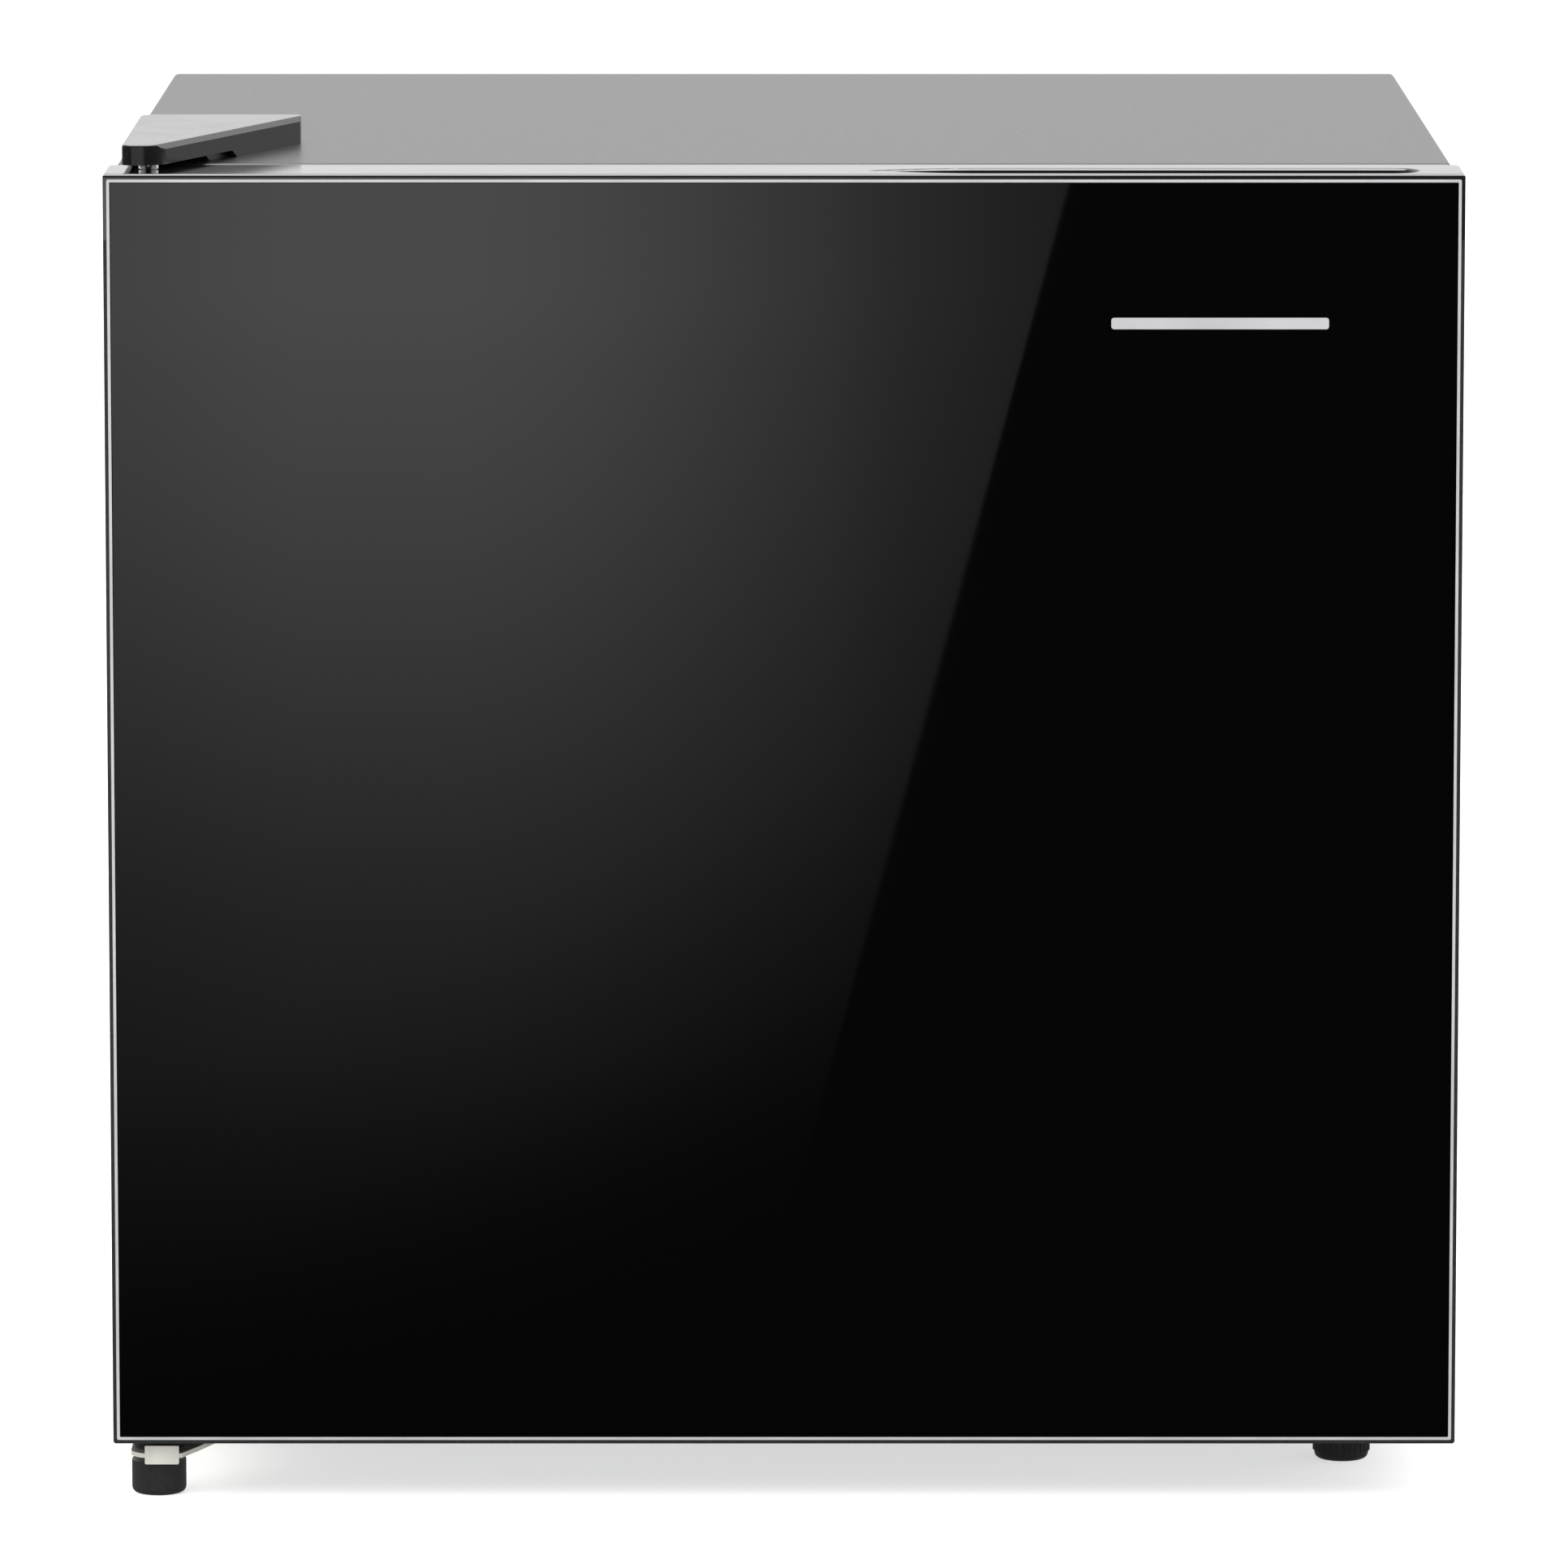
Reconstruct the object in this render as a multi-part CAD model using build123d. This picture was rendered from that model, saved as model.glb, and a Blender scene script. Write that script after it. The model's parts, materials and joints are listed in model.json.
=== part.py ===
from build123d import *
import os
from math import sqrt

# A cube-shaped compact refrigerator: a foamed steel cabinet with a moulded liner, and one glass-faced
# door hung on its left side. Millimetres. X to the right, Y to the back, Z up. The origin is on the
# floor, under the middle of the whole object.

# ---- driving dimensions -------------------------------------------------------------------------
WIDTH = 472.0
DEPTH = 450.0
HEIGHT = 478.0

SHEET = 0.8                      # steel sheet of the cabinet
LINER = 1.5                      # moulded liner wall
BEND = 2.0                       # outside bend radius of the cabinet's sheet
FOLD_SHARPER = 0.4               # the front fold is this much sharper than the bends at the top

# Door
DOOR_X = WIDTH / 2
DOOR_Z0, DOOR_Z1 = 21.0, 469.0
DOOR_FRONT = -DEPTH / 2
DOOR_THICK = 36.0
DOOR_BACK = DOOR_FRONT + DOOR_THICK
RIM = 1.3                        # moulded rim outside the glass, at the sides and the bottom
TOP_RIM = 1.9                    # the same at the top, where it is the cap's top plate
TRIM = 1.0                       # bright strip round the glass
GLASS = 3.2
GLASS_BACK = DOOR_FRONT + GLASS
CAP_Z0 = 446.0                   # underside of the top cap
BADGE_X, BADGE_Z = 151.3, 417.0
BADGE_LENGTH, BADGE_HEIGHT = 75.5, 4.0

# Cabinet
CAB_X = 234.0
CAB_Z0, CAB_Z1 = 22.0, 468.4
CAB_FRONT = -179.0
CAB_BACK = 200.0
LIP = 20.0                       # width of the front lip folded in from the wrap
WELL_Y, WELL_Z = 50.0, 172.0     # front and top of the compressor well

# Inside
ROOM_X = 198.0
ROOM_Z0, ROOM_Z1 = 60.0, 430.4
ROOM_BACK = 160.0
ROOM_CORNER = 12.0
HUMP_Y, HUMP_Z = 15.0, 205.0     # front and top of the step over the compressor well

# Door hinge
HINGE = (-221.0, -206.0)
PIN_R = 3.0
RUNNING_FIT = 0.08
PLATE = 2.2                      # upper hinge plate
LOWER_PLATE = 1.6
NOSE_Z = 14.6                    # underside of the lower plate round the pin
CLEAR = 0.3                      # between pieces that move past each other

# Gasket
GASKET_OUT = 226.0
GASKET_W = 20.0
GASKET_BACK = CAB_FRONT - CLEAR

# Chiller compartment, its flap and its tray
CHILL_X0, CHILL_X1 = -185.0, 90.0
CHILL_Z0, CHILL_Z1 = 335.0, 428.0
CHILL_FRONT, CHILL_BACK = -50.0, 156.0
CHILL_SHEET = 1.4
FLAP_PIVOT = (-61.0, 424.0)      # y, z
FLAP_THICK = 7.0
FLAP_Z0 = 334.0
TRAY_Z0, TRAY_Z1 = 306.0, 322.3
TRAY_FRONT, TRAY_BACK = -58.0, 148.0

# Shelf
SHELF_Z = 215.0
SHELF_FRONT, SHELF_BACK = -75.0, 154.0
SHELF_R = 2.6
LEDGE_Z = SHELF_Z - SHELF_R - CLEAR
LEDGE_W = 8.0

# Thermostat
THERMO_X0, THERMO_X1 = 105.0, ROOM_X - ROOM_CORNER
THERMO_Y0, THERMO_Y1 = -140.0, -20.0
THERMO_Z0 = 391.0
KNOB_X, KNOB_Z, KNOB_R = 147.0, 411.0, 16.0

# Feet
LEFT_FOOT_R, LEFT_FOOT_TOP = 9.6, 12.4
RIGHT_FOOT = (200.0, -147.0)
RIGHT_FOOT_R, RIGHT_FOOT_TOP = 10.25, 15.0
REAR_FEET_X, REAR_FEET_Y = 200.0, 170.0

# Machinery at the back
RAIL_TOP = 24.0
COMP = (60.0, 126.0)
COMP_R = 58.0
COIL_Y, COIL_R = 215.5, 2.5
COIL_Z0, COIL_STEP, COIL_RUNS = 192.0, 42.0, 7
COIL_X = 172.0
COIL_BEND = 20.0
WIRE_R, WIRE_STEP = 0.8, 14.0


# ---- helpers ------------------------------------------------------------------------------------
def block(x0, x1, y0, y1, z0, z1):
    """Box between two corners."""
    return Pos((x0 + x1) / 2, (y0 + y1) / 2, (z0 + z1) / 2) * Box(x1 - x0, y1 - y0, z1 - z0)


def drum(x, y, z0, z1, radius):
    """Upright cylinder."""
    return Pos(x, y, (z0 + z1) / 2) * Cylinder(radius, z1 - z0)


def rod(start, end, radius):
    """Round bar between two points."""
    run = Vector(*end) - Vector(*start)
    return extrude(Plane(origin=start, z_dir=run) * Circle(radius), run.length)


def pipe(points, radii, radius):
    """Round tube, solid, along straight runs joined by tangent arcs."""
    path = FilletPolyline(*points, radius=radii)
    section = Plane(origin=path @ 0, z_dir=path % 0) * Circle(radius)
    return sweep(section, path=path)


def plan(points, radii, z0, z1):
    """Upright prism on a polygon in plan, each corner rounded by its own radius."""
    outline = FilletPolyline(*points, radius=radii, close=True)
    return extrude(Pos(0, 0, z0) * make_face(outline), z1 - z0)


def ring_xz(x, z0, z1, width, corner, y0, y1):
    """Rectangular picture frame facing Y, with rounded outer corners."""
    mid = (z0 + z1) / 2
    face = RectangleRounded(2 * x, z1 - z0, corner)
    face -= RectangleRounded(2 * (x - width), z1 - z0 - 2 * width, max(corner - width, 0.3))
    return extrude(Plane((0, y0, mid), x_dir=(1, 0, 0), z_dir=(0, 1, 0)) * face, y1 - y0)


def slab_xz(x, z0, z1, corner, y0, y1):
    """Rounded rectangle facing Y."""
    face = RectangleRounded(2 * x, z1 - z0, corner)
    return extrude(Plane((0, y0, (z0 + z1) / 2), x_dir=(1, 0, 0), z_dir=(0, 1, 0)) * face, y1 - y0)


def bent_plate(profile, thick, radius, x0, x1):
    """Sheet bent along a path in the YZ plane, given as (y, z) points on its middle."""
    path = FilletPolyline(*[(y, z) for y, z in profile], radius=radius)
    strip = trace(path, line_width=thick)
    return extrude(Plane((x0, 0, 0), x_dir=(0, 1, 0), z_dir=(1, 0, 0)) * strip, x1 - x0)


def hexagon(x, y, z0, z1, flats, bore):
    """Hexagon nut."""
    face = Pos(x, y, z0) * (RegularPolygon(flats / sqrt(3), 6) - Circle(bore))
    return extrude(face, z1 - z0)


def screw(x, y, z_head, length, radius=2.0, head=4.2, rise=2.4):
    """Pan-head screw standing on the plane z_head, its shank down; a negative rise turns it over."""
    up = 1 if rise > 0 else -1
    cap = drum(x, y, *sorted((z_head, z_head + rise)), head)
    edge = cap.edges().filter_by(GeomType.CIRCLE).sort_by(Axis.Z)[-1 if up > 0 else 0]
    shank = drum(x, y, *sorted((z_head, z_head - up * length)), radius)
    return fillet(edge, 1.2) + shank


def save(name, shape):
    """Write one sub-part; a group is written as its separate solids."""
    solids = shape.solids()
    body = solids[0] if len(solids) == 1 else Compound(children=list(solids))
    body.label = name
    export_step(body, f"parts/{name}.step")


# ---- cabinet ------------------------------------------------------------------------------------
TOP_SCREWS = [(-218.0, -150.0), (-200.0, -118.0), (-219.0, -108.0)]
LOWER_SCREWS = [(-219.0, -150.0), (-203.0, -138.0), (-214.0, -122.0)]
PANEL_SCREWS = [(x, z) for x in (-224.0, 224.0) for z in (190.0, 320.0, 455.0)] + [(0.0, 458.0)]


def room(grow):
    """The space inside the liner, or its outside when grown by the wall."""
    space = slab_xz(ROOM_X + grow, ROOM_Z0 - grow, ROOM_Z1 + grow, ROOM_CORNER + grow,
                    CAB_FRONT - 1, ROOM_BACK + grow)
    hump = block(-ROOM_X - 5, ROOM_X + 5, HUMP_Y + grow, ROOM_BACK + 5, 0, HUMP_Z - grow)
    return space - hump


def cabinet_wrap():
    """Top and both sides in one folded sheet, with a lip folded in round the front."""
    def arch(inset, corner, y0, y1):
        x = CAB_X - inset
        corners = [(-x, CAB_Z0), (x, CAB_Z0), (x, CAB_Z1 - inset), (-x, CAB_Z1 - inset)]
        outline = FilletPolyline(*corners, radius=[0, 0, corner, corner], close=True)
        face = Plane((0, y0, 0), x_dir=(1, 0, 0), z_dir=(0, -1, 0)) * make_face(outline)
        body = extrude(face, y0 - y1)
        front = body.faces().sort_by(Axis.Y)[0].edges().sort_by(Axis.Z)[1:]
        return fillet(front, corner - FOLD_SHARPER)
    wrap = arch(0, BEND, CAB_FRONT, CAB_BACK)
    wrap -= arch(SHEET, BEND - SHEET, CAB_FRONT + SHEET, CAB_BACK + 1)
    opening = CAB_X - LIP
    wrap -= block(-opening, opening, CAB_FRONT - 1, CAB_FRONT + 2, 0, CAB_Z1 - LIP)
    for x, y in TOP_SCREWS:
        wrap -= drum(x, y, CAB_Z1 - 3, CAB_Z1 + 1, 2.0)
    return wrap


def bottom_pan():
    """Floor of the cabinet, its front lip and the step over the compressor well, in one bent sheet."""
    half = SHEET / 2
    path = [(CAB_FRONT + half, CAB_Z0 + LIP), (CAB_FRONT + half, CAB_Z0 + half),
            (WELL_Y + half, CAB_Z0 + half), (WELL_Y + half, WELL_Z - half), (CAB_BACK - SHEET, WELL_Z - half)]
    inside = CAB_X - SHEET
    pan = bent_plate(path, SHEET, BEND - half, -inside, inside)
    for side in (-1, 1):
        x0, x1 = sorted((side * (CAB_X - LIP), side * CAB_X))
        pan -= block(x0, x1, CAB_FRONT - 1, CAB_FRONT + SHEET, CAB_Z0 - 1, CAB_Z0 + LIP + 1)
    pan -= drum(*RIGHT_FOOT, CAB_Z0 - 1, CAB_Z0 + 2, PIN_R + 0.4)
    for port, radius in ((SUCTION_PORT, SUCTION_R), (CAPILLARY_PORT, CAPILLARY_R)):
        pan -= drum(*port, WELL_Z - 3, WELL_Z + 3, radius)
    for x, y in LOWER_SCREWS:
        pan -= drum(x, y, CAB_Z0 - 1, CAB_Z0 + 2, 2.0)
    return pan


def rear_panel():
    """Sheet that closes the back above the compressor well."""
    inside = CAB_X - SHEET
    panel = block(-inside, inside, CAB_BACK - SHEET, CAB_BACK, WELL_Z, CAB_Z1 - SHEET)
    panel = fillet(panel.edges().filter_by(Axis.Y).sort_by(Axis.Z)[-2:], BEND - SHEET)
    for x, z in PANEL_SCREWS:
        panel -= rod((x, CAB_BACK - 5, z), (x, CAB_BACK + 5, z), 1.6)
    return panel


def panel_screws():
    """Screws round the rear panel."""
    group = []
    for x, z in PANEL_SCREWS:
        head = rod((x, CAB_BACK, z), (x, CAB_BACK + 2.2, z), 3.6)
        head = fillet(head.edges().sort_by(Axis.Y)[-1], 1.0)
        group.append(head + rod((x, CAB_BACK - 9, z), (x, CAB_BACK, z), 1.6))
    return Compound(children=group)


def cabinet_foam():
    """Foam poured between the steel and the liner."""
    inside = CAB_X - SHEET
    foam = block(-inside, inside, CAB_FRONT + 2, CAB_BACK - SHEET, CAB_Z0 + SHEET, CAB_Z1 - SHEET)
    foam -= block(-inside - 1, inside + 1, WELL_Y, CAB_BACK + 1, 0, WELL_Z)
    foam -= room(LINER)
    foam -= drum(*RIGHT_FOOT, CAB_Z0, CAB_Z0 + 23, 7.0)
    for x, y in TOP_SCREWS:
        foam -= drum(x, y, CAB_Z1 - 16, CAB_Z1, 2.0)
    for x, y in LOWER_SCREWS:
        foam -= drum(x, y, CAB_Z0, CAB_Z0 + 16, 2.0)
    for x, z in PANEL_SCREWS:
        foam -= rod((x, CAB_BACK - 9, z), (x, CAB_BACK, z), 1.6)
    for port, radius in ((SUCTION_PORT, SUCTION_R), (CAPILLARY_PORT, CAPILLARY_R)):
        foam -= drum(*port, WELL_Z - 1, WELL_Z + 12, radius)
    return foam - cabinet_wrap() - bottom_pan()


def inner_liner():
    """White moulded liner: the room, its flange, and a ledge on each side for the shelf."""
    flange = slab_xz(CAB_X - LIP - 0.2, CAB_Z0 + LIP + 0.2, CAB_Z1 - LIP - 0.2, 3, CAB_FRONT + 0.3,
                     CAB_FRONT + 0.3 + LINER)
    liner = room(LINER) & block(-300, 300, CAB_FRONT + 0.3, 300, 0, 500)
    liner = (liner + flange) - room(0)
    for side in (-1, 1):
        x0, x1 = sorted((side * (ROOM_X - LEDGE_W), side * (ROOM_X + LINER / 2)))
        ledge = block(x0, x1, SHELF_FRONT - 10, ROOM_BACK + LINER / 2, LEDGE_Z - 6, LEDGE_Z)
        liner += ledge
    return liner


# ---- hinges and feet ----------------------------------------------------------------------------
COVER_SLANT = [(-217.0, -214.5), (-172.6, -100.0)]       # ends of the cover's slanted side
COVER_PLAN = [(-230.0, -89.5), (-230.0, -214.5), *COVER_SLANT, (-172.6, -89.5)]
COVER_CORNERS = [6.0, 3.5, 9.5, 3.5, 3.5]
COVER_CHAMFER = 1.7
ARM_Z = 472.3                    # middle of the upper hinge arm


def top_hinge_bracket():
    """Upper hinge plate: screwed to the cabinet, stepped up over the door."""
    low = CAB_Z1 + PLATE / 2
    path = [(-96.0, low), (-166.0, low), (-170.0, ARM_Z), (-215.0, ARM_Z)]
    plate = bent_plate(path, PLATE, 2.0, -240, -160)
    inside = [(-227.0, -96.0), (-227.0, -211.5), (-219.0, -211.5), (-178.0, -104.0), (-178.0, -96.0)]
    plate &= plan(inside, [3.0, 3.0, 4.0, 3.0, 2.0], CAB_Z1 - 1, HEIGHT)
    for x, y in TOP_SCREWS:
        plate -= drum(x, y, CAB_Z1 - 1, HEIGHT, 2.0)
    return plate - drum(*HINGE, ARM_Z - 5, ARM_Z + 5, PIN_R)


def top_hinge_pin():
    """Pin riveted in the upper arm, with a bright collar that holds the door down."""
    pin = drum(*HINGE, CAP_Z0 + 8, ARM_Z + PLATE / 2, PIN_R)
    pin += drum(*HINGE, DOOR_Z1 + CLEAR, ARM_Z - PLATE / 2, 3.5)
    return pin + drum(*HINGE, ARM_Z + PLATE / 2, ARM_Z + PLATE / 2 + 1.2, 4.2)


def hinge_cover():
    """Snap-on cover over the upper hinge, chamfered along its slanted side and cut away over the door."""
    wall = 1.6
    cover = plan(COVER_PLAN, COVER_CORNERS, CAB_Z1, HEIGHT)
    cover = fillet(cover.faces().sort_by(Axis.Z)[-1].edges(), 0.6)
    start, end = (Vector(*point, HEIGHT) for point in COVER_SLANT)
    along = (end - start).normalized()
    outward = along.cross(Vector(0, 0, 1))
    corner = Polyline((1, -1), (1, COVER_CHAMFER + 1), (-COVER_CHAMFER - 1, -1), close=True)
    section = Plane(start - along * 30, x_dir=outward, z_dir=along) * make_face(corner)
    cover -= extrude(section, (end - start).length + 60)
    inner = [(-228.4, -91.1), (-228.4, -212.9), (-217.8, -212.9), (-174.7, -100.4), (-174.7, -91.1)]
    cover -= plan(inner, [4.4, 2.0, 7.5, 2.0, 2.0], CAB_Z1 - 1, HEIGHT - wall - 0.6)
    over_door = Polyline((-240, CAB_Z1 - 1), (-150.6, CAB_Z1 - 1), (-156.0, DOOR_Z1 + 2),
                         (-240, DOOR_Z1 + 2), close=True)
    return cover - extrude(Plane((-240, 0, 0), x_dir=(0, 1, 0), z_dir=(1, 0, 0)) * make_face(over_door), 100)


def lower_hinge_bracket():
    """Lower hinge plate: a rounded nose round the pin, and an upright tab at its front."""
    low, high = NOSE_Z + LOWER_PLATE / 2, CAB_Z0 - LOWER_PLATE / 2
    path = [(-222.0, low), (-177.0, low), (-169.0, high), (-112.0, high)]
    plate = bent_plate(path, LOWER_PLATE, 3.0, -240, -170)
    outline = [(-230.5, -112.0), (-230.5, -215.5), (-226.0, -219.0), (-212.4, -219.0), (-207.0, -207.0),
               (-194.0, -174.0), (-194.0, -112.0)]
    plate &= plan(outline, [3.0, 8.0, 3.0, 0.5, 4.0, 4.0, 3.0], 10, 30)
    tab = block(-225.3, -213.3, -219.6, -219.6 + LOWER_PLATE, 12.4, 19.0)
    plate += fillet(tab.edges().filter_by(Axis.Y), 0.5)
    for x, y in LOWER_SCREWS:
        plate -= drum(x, y, 10, 30, 2.0)
    return plate - drum(*HINGE, 10, 30, PIN_R)


def lower_hinge_pin():
    """Stud through the lower plate: the door turns on its top, the foot is screwed on its bottom."""
    return drum(*HINGE, 4.2, 38.0, PIN_R)


def lower_pin_nut():
    """Nut that locks the stud to the lower plate."""
    return hexagon(*HINGE, NOSE_Z - 2.7, NOSE_Z, 10.0, PIN_R)


def chassis_screws():
    """Three screws in each hinge plate, and one up through each rear foot into the rail."""
    group = [screw(x, y, CAB_Z1 + PLATE, 18 - PLATE) for x, y in TOP_SCREWS]
    group += [screw(x, y, CAB_Z0 - LOWER_PLATE, 18 - LOWER_PLATE, rise=-2.4) for x, y in LOWER_SCREWS]
    group += [screw(side * REAR_FEET_X, REAR_FEET_Y, 8, RAIL_TOP - 4, rise=-2.4) for side in (-1, 1)]
    return Compound(children=group)


def left_foot():
    """Smooth levelling foot on the lower hinge stud."""
    foot = drum(*HINGE, 0, LEFT_FOOT_TOP, LEFT_FOOT_R)
    foot = fillet(foot.edges().filter_by(GeomType.CIRCLE).sort_by(Axis.Z)[0], 2.2)
    foot = chamfer(foot.edges().filter_by(GeomType.CIRCLE).sort_by(Axis.Z)[-1], 0.5)
    foot -= drum(*HINGE, 9.4, LEFT_FOOT_TOP + 1, 7.2)
    return foot - drum(*HINGE, 1.2, 11, PIN_R + RUNNING_FIT)


def right_foot():
    """Ribbed levelling foot, with its threaded stud."""
    face = Circle(RIGHT_FOOT_R)
    for groove in PolarLocations(RIGHT_FOOT_R + 0.35, 28):
        face -= groove * Circle(0.8)
    foot = extrude(Pos(*RIGHT_FOOT, 3) * face, RIGHT_FOOT_TOP - 3)
    base = drum(*RIGHT_FOOT, 0, 3, RIGHT_FOOT_R - 0.6)
    foot += fillet(base.edges().filter_by(GeomType.CIRCLE).sort_by(Axis.Z)[0], 2.2)
    return foot


def right_foot_stud():
    """Threaded stud moulded into the ribbed foot."""
    return drum(*RIGHT_FOOT, RIGHT_FOOT_TOP, 36, PIN_R)


def front_foot_nut():
    """Nut welded inside the cabinet floor for the ribbed foot."""
    return hexagon(*RIGHT_FOOT, CAB_Z0 + SHEET, CAB_Z0 + SHEET + 5, 10.0, PIN_R + RUNNING_FIT)


def rear_feet():
    """Two fixed feet under the compressor rail."""
    group = []
    for side in (-1, 1):
        foot = drum(side * REAR_FEET_X, REAR_FEET_Y, 0, CAB_Z0, 11.0)
        foot = chamfer(foot.edges().filter_by(GeomType.CIRCLE).sort_by(Axis.Z)[0], 1.5)
        foot -= drum(side * REAR_FEET_X, REAR_FEET_Y, -1, 8, 5.0)
        group.append(foot - drum(side * REAR_FEET_X, REAR_FEET_Y, 7, 30, 2.0))
    return Compound(children=group)


# ---- machinery ----------------------------------------------------------------------------------
LEG_X, LEG_Y = 74.0, 42.0
SUCTION_PORT = (-70.0, 140.0)    # where the lines go up through the roof of the well
CAPILLARY_PORT = (-95.0, 150.0)
SUCTION_R, CAPILLARY_R = 3.0, 1.0
DRIER = (-170.0, 188.0)
DRIER_Z0, DRIER_Z1 = 44.0, 124.0


def legs():
    """Centres of the compressor's four mountings."""
    return [(COMP[0] + sx * LEG_X, COMP[1] + sy * LEG_Y) for sx in (-1, 1) for sy in (-1, 1)]


def compressor_rail():
    """Base plate across the well, with a turned-up flange at the front and the back."""
    inside = CAB_X - SHEET
    path = [(62.0, 34.0), (62.0, 23.0), (195.0, 23.0), (195.0, 34.0)]
    rail = bent_plate(path, 2.0, 3.0, -inside, inside)
    for x, y in legs():
        rail -= drum(x, y, 20, 26, 4.0)
    for side in (-1, 1):
        rail -= drum(side * REAR_FEET_X, REAR_FEET_Y, 20, 26, 2.0)
    return rail


def compressor_grommets():
    """Rubber mountings between the rail and the compressor's legs."""
    group = []
    for x, y in legs():
        body = drum(x, y, RAIL_TOP, 36, 9.0) + drum(x, y, 36, 42, 5.5)
        group.append(body - drum(x, y, 20, 45, 4.0))
    return Compound(children=group)


def compressor_bolts():
    """Bolts through the rail and the mountings."""
    group = []
    for x, y in legs():
        group.append(drum(x, y, 19, 44, 4.0) + drum(x, y, 42, 43.2, 8.5) + drum(x, y, 43.2, 47, 6.0))
    return Compound(children=group)


def compressor_lower_shell():
    """Lower half of the sealed compressor, with its leg plate welded on."""
    shell = drum(*COMP, 34, 98, COMP_R)
    shell = fillet(shell.edges().filter_by(GeomType.CIRCLE).sort_by(Axis.Z)[0], 16)
    for side in (-1, 1):
        y = COMP[1] + side * LEG_Y
        bar = block(COMP[0] - LEG_X - 12, COMP[0] + LEG_X + 12, y - 10, y + 10, 36, 38.5)
        shell += fillet(bar.edges().filter_by(Axis.Z), 6)
    for x, y in legs():
        shell -= drum(x, y, 30, 45, 5.5)
    return shell


def compressor_upper_shell():
    """Upper half of the compressor, pressed over the lower half, with a domed top."""
    shell = drum(*COMP, 90, 160, COMP_R + 2.0)
    shell = fillet(shell.edges().filter_by(GeomType.CIRCLE).sort_by(Axis.Z)[-1], 26)
    return shell - drum(*COMP, 89, 98, COMP_R)


def terminal_cover():
    """Cover over the compressor's terminals and relay."""
    x1 = COMP[0] - COMP_R + 6
    cover = block(x1 - 34, x1, COMP[1] - 26, COMP[1] + 26, 62, 88)
    cover = fillet(cover.edges().filter_by(Axis.X), 5)
    return cover - drum(*COMP, 50, 110, COMP_R)


def power_inlet_gland():
    """Grommet in the rail's rear flange where the supply lead enters."""
    gland = rod((-60, 192.0, 35), (-60, 199, 35), 8.0)
    gland -= rod((-60, 190, 35), (-60, 200, 35), 4.0)
    return gland - block(-80, -40, 194.0, 196.0, 20, 34.0)


def condenser_coil():
    """Condenser tube: to and fro up the back, then down its left side to the filter drier."""
    points = [(COIL_X + 18, COIL_Y, 120.0), (COIL_X + 18, COIL_Y, COIL_Z0)]
    for run in range(COIL_RUNS):
        z = COIL_Z0 + run * COIL_STEP
        side = 1 if run % 2 == 0 else -1
        if run > 0:
            points.append((side * COIL_X, COIL_Y, z))
        points.append((-side * COIL_X, COIL_Y, z))
    outer = points[-1][0] - 20
    points[-1] = (outer, COIL_Y, points[-1][2])
    points += [(outer, COIL_Y, 158.0), (*DRIER, 136.0), (*DRIER, DRIER_Z1)]
    radii = [COIL_BEND] * (len(points) - 4) + [10.0, 8.0]
    return pipe(points, radii, COIL_R)


def wire_places():
    """Places of the condenser's upright wires along X."""
    count = int(COIL_X * 2 / WIRE_STEP) - 2
    return [(i - (count - 1) / 2) * WIRE_STEP for i in range(count)]


def condenser_wires():
    """Upright wires spot-welded to the front and the back of the coil."""
    reach = COIL_R + WIRE_R
    top = COIL_Z0 + (COIL_RUNS - 1) * COIL_STEP
    group = []
    for x in wire_places():
        for y in (COIL_Y - reach, COIL_Y + reach):
            group.append(rod((x, y, COIL_Z0 - 8), (x, y, top + 8), WIRE_R))
    return Compound(children=group)


def condenser_clips():
    """Four plastic clips that hold the coil off the rear panel."""
    group = []
    for side in (-1, 1):
        for run in (0, COIL_RUNS - 1):
            x = side * WIRE_STEP * 10
            z = COIL_Z0 + run * COIL_STEP
            clip = block(x - 5, x + 5, CAB_BACK, COIL_Y + 4.5, z - 6, z + 6)
            group.append(clip - rod((x - 9, COIL_Y, z), (x + 9, COIL_Y, z), COIL_R))
    return Compound(children=group)


def wall_spacers():
    """Two spacers at the top of the back, which keep the condenser off the wall."""
    group = []
    for side in (-1, 1):
        spacer = block(side * 206 - 9, side * 206 + 9, CAB_BACK, DEPTH / 2, 425, 443)
        group.append(fillet(spacer.edges().filter_by(Axis.Y), 4))
    return Compound(children=group)


# ---- door ---------------------------------------------------------------------------------------
RIDGE_X0, RIDGE_X1 = 156.0, 190.0
RIDGE_Z0, RIDGE_Z1 = 64.0, 426.0
RIDGE_BACK = -164.0
RACK_BACK = -88.0
RACK_WALL = 2.0
LOWER_RACK = (66.0, 50.0, 84.0)      # floor height, front wall, wire rail above the floor
UPPER_RACK = (240.0, 36.0, 56.0)
RAIL_R = 1.6
RAIL_Y = -175.0                      # where the rails' ends enter the ridges
RAIL_GRIP = 6.0                      # how far they go in


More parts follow.
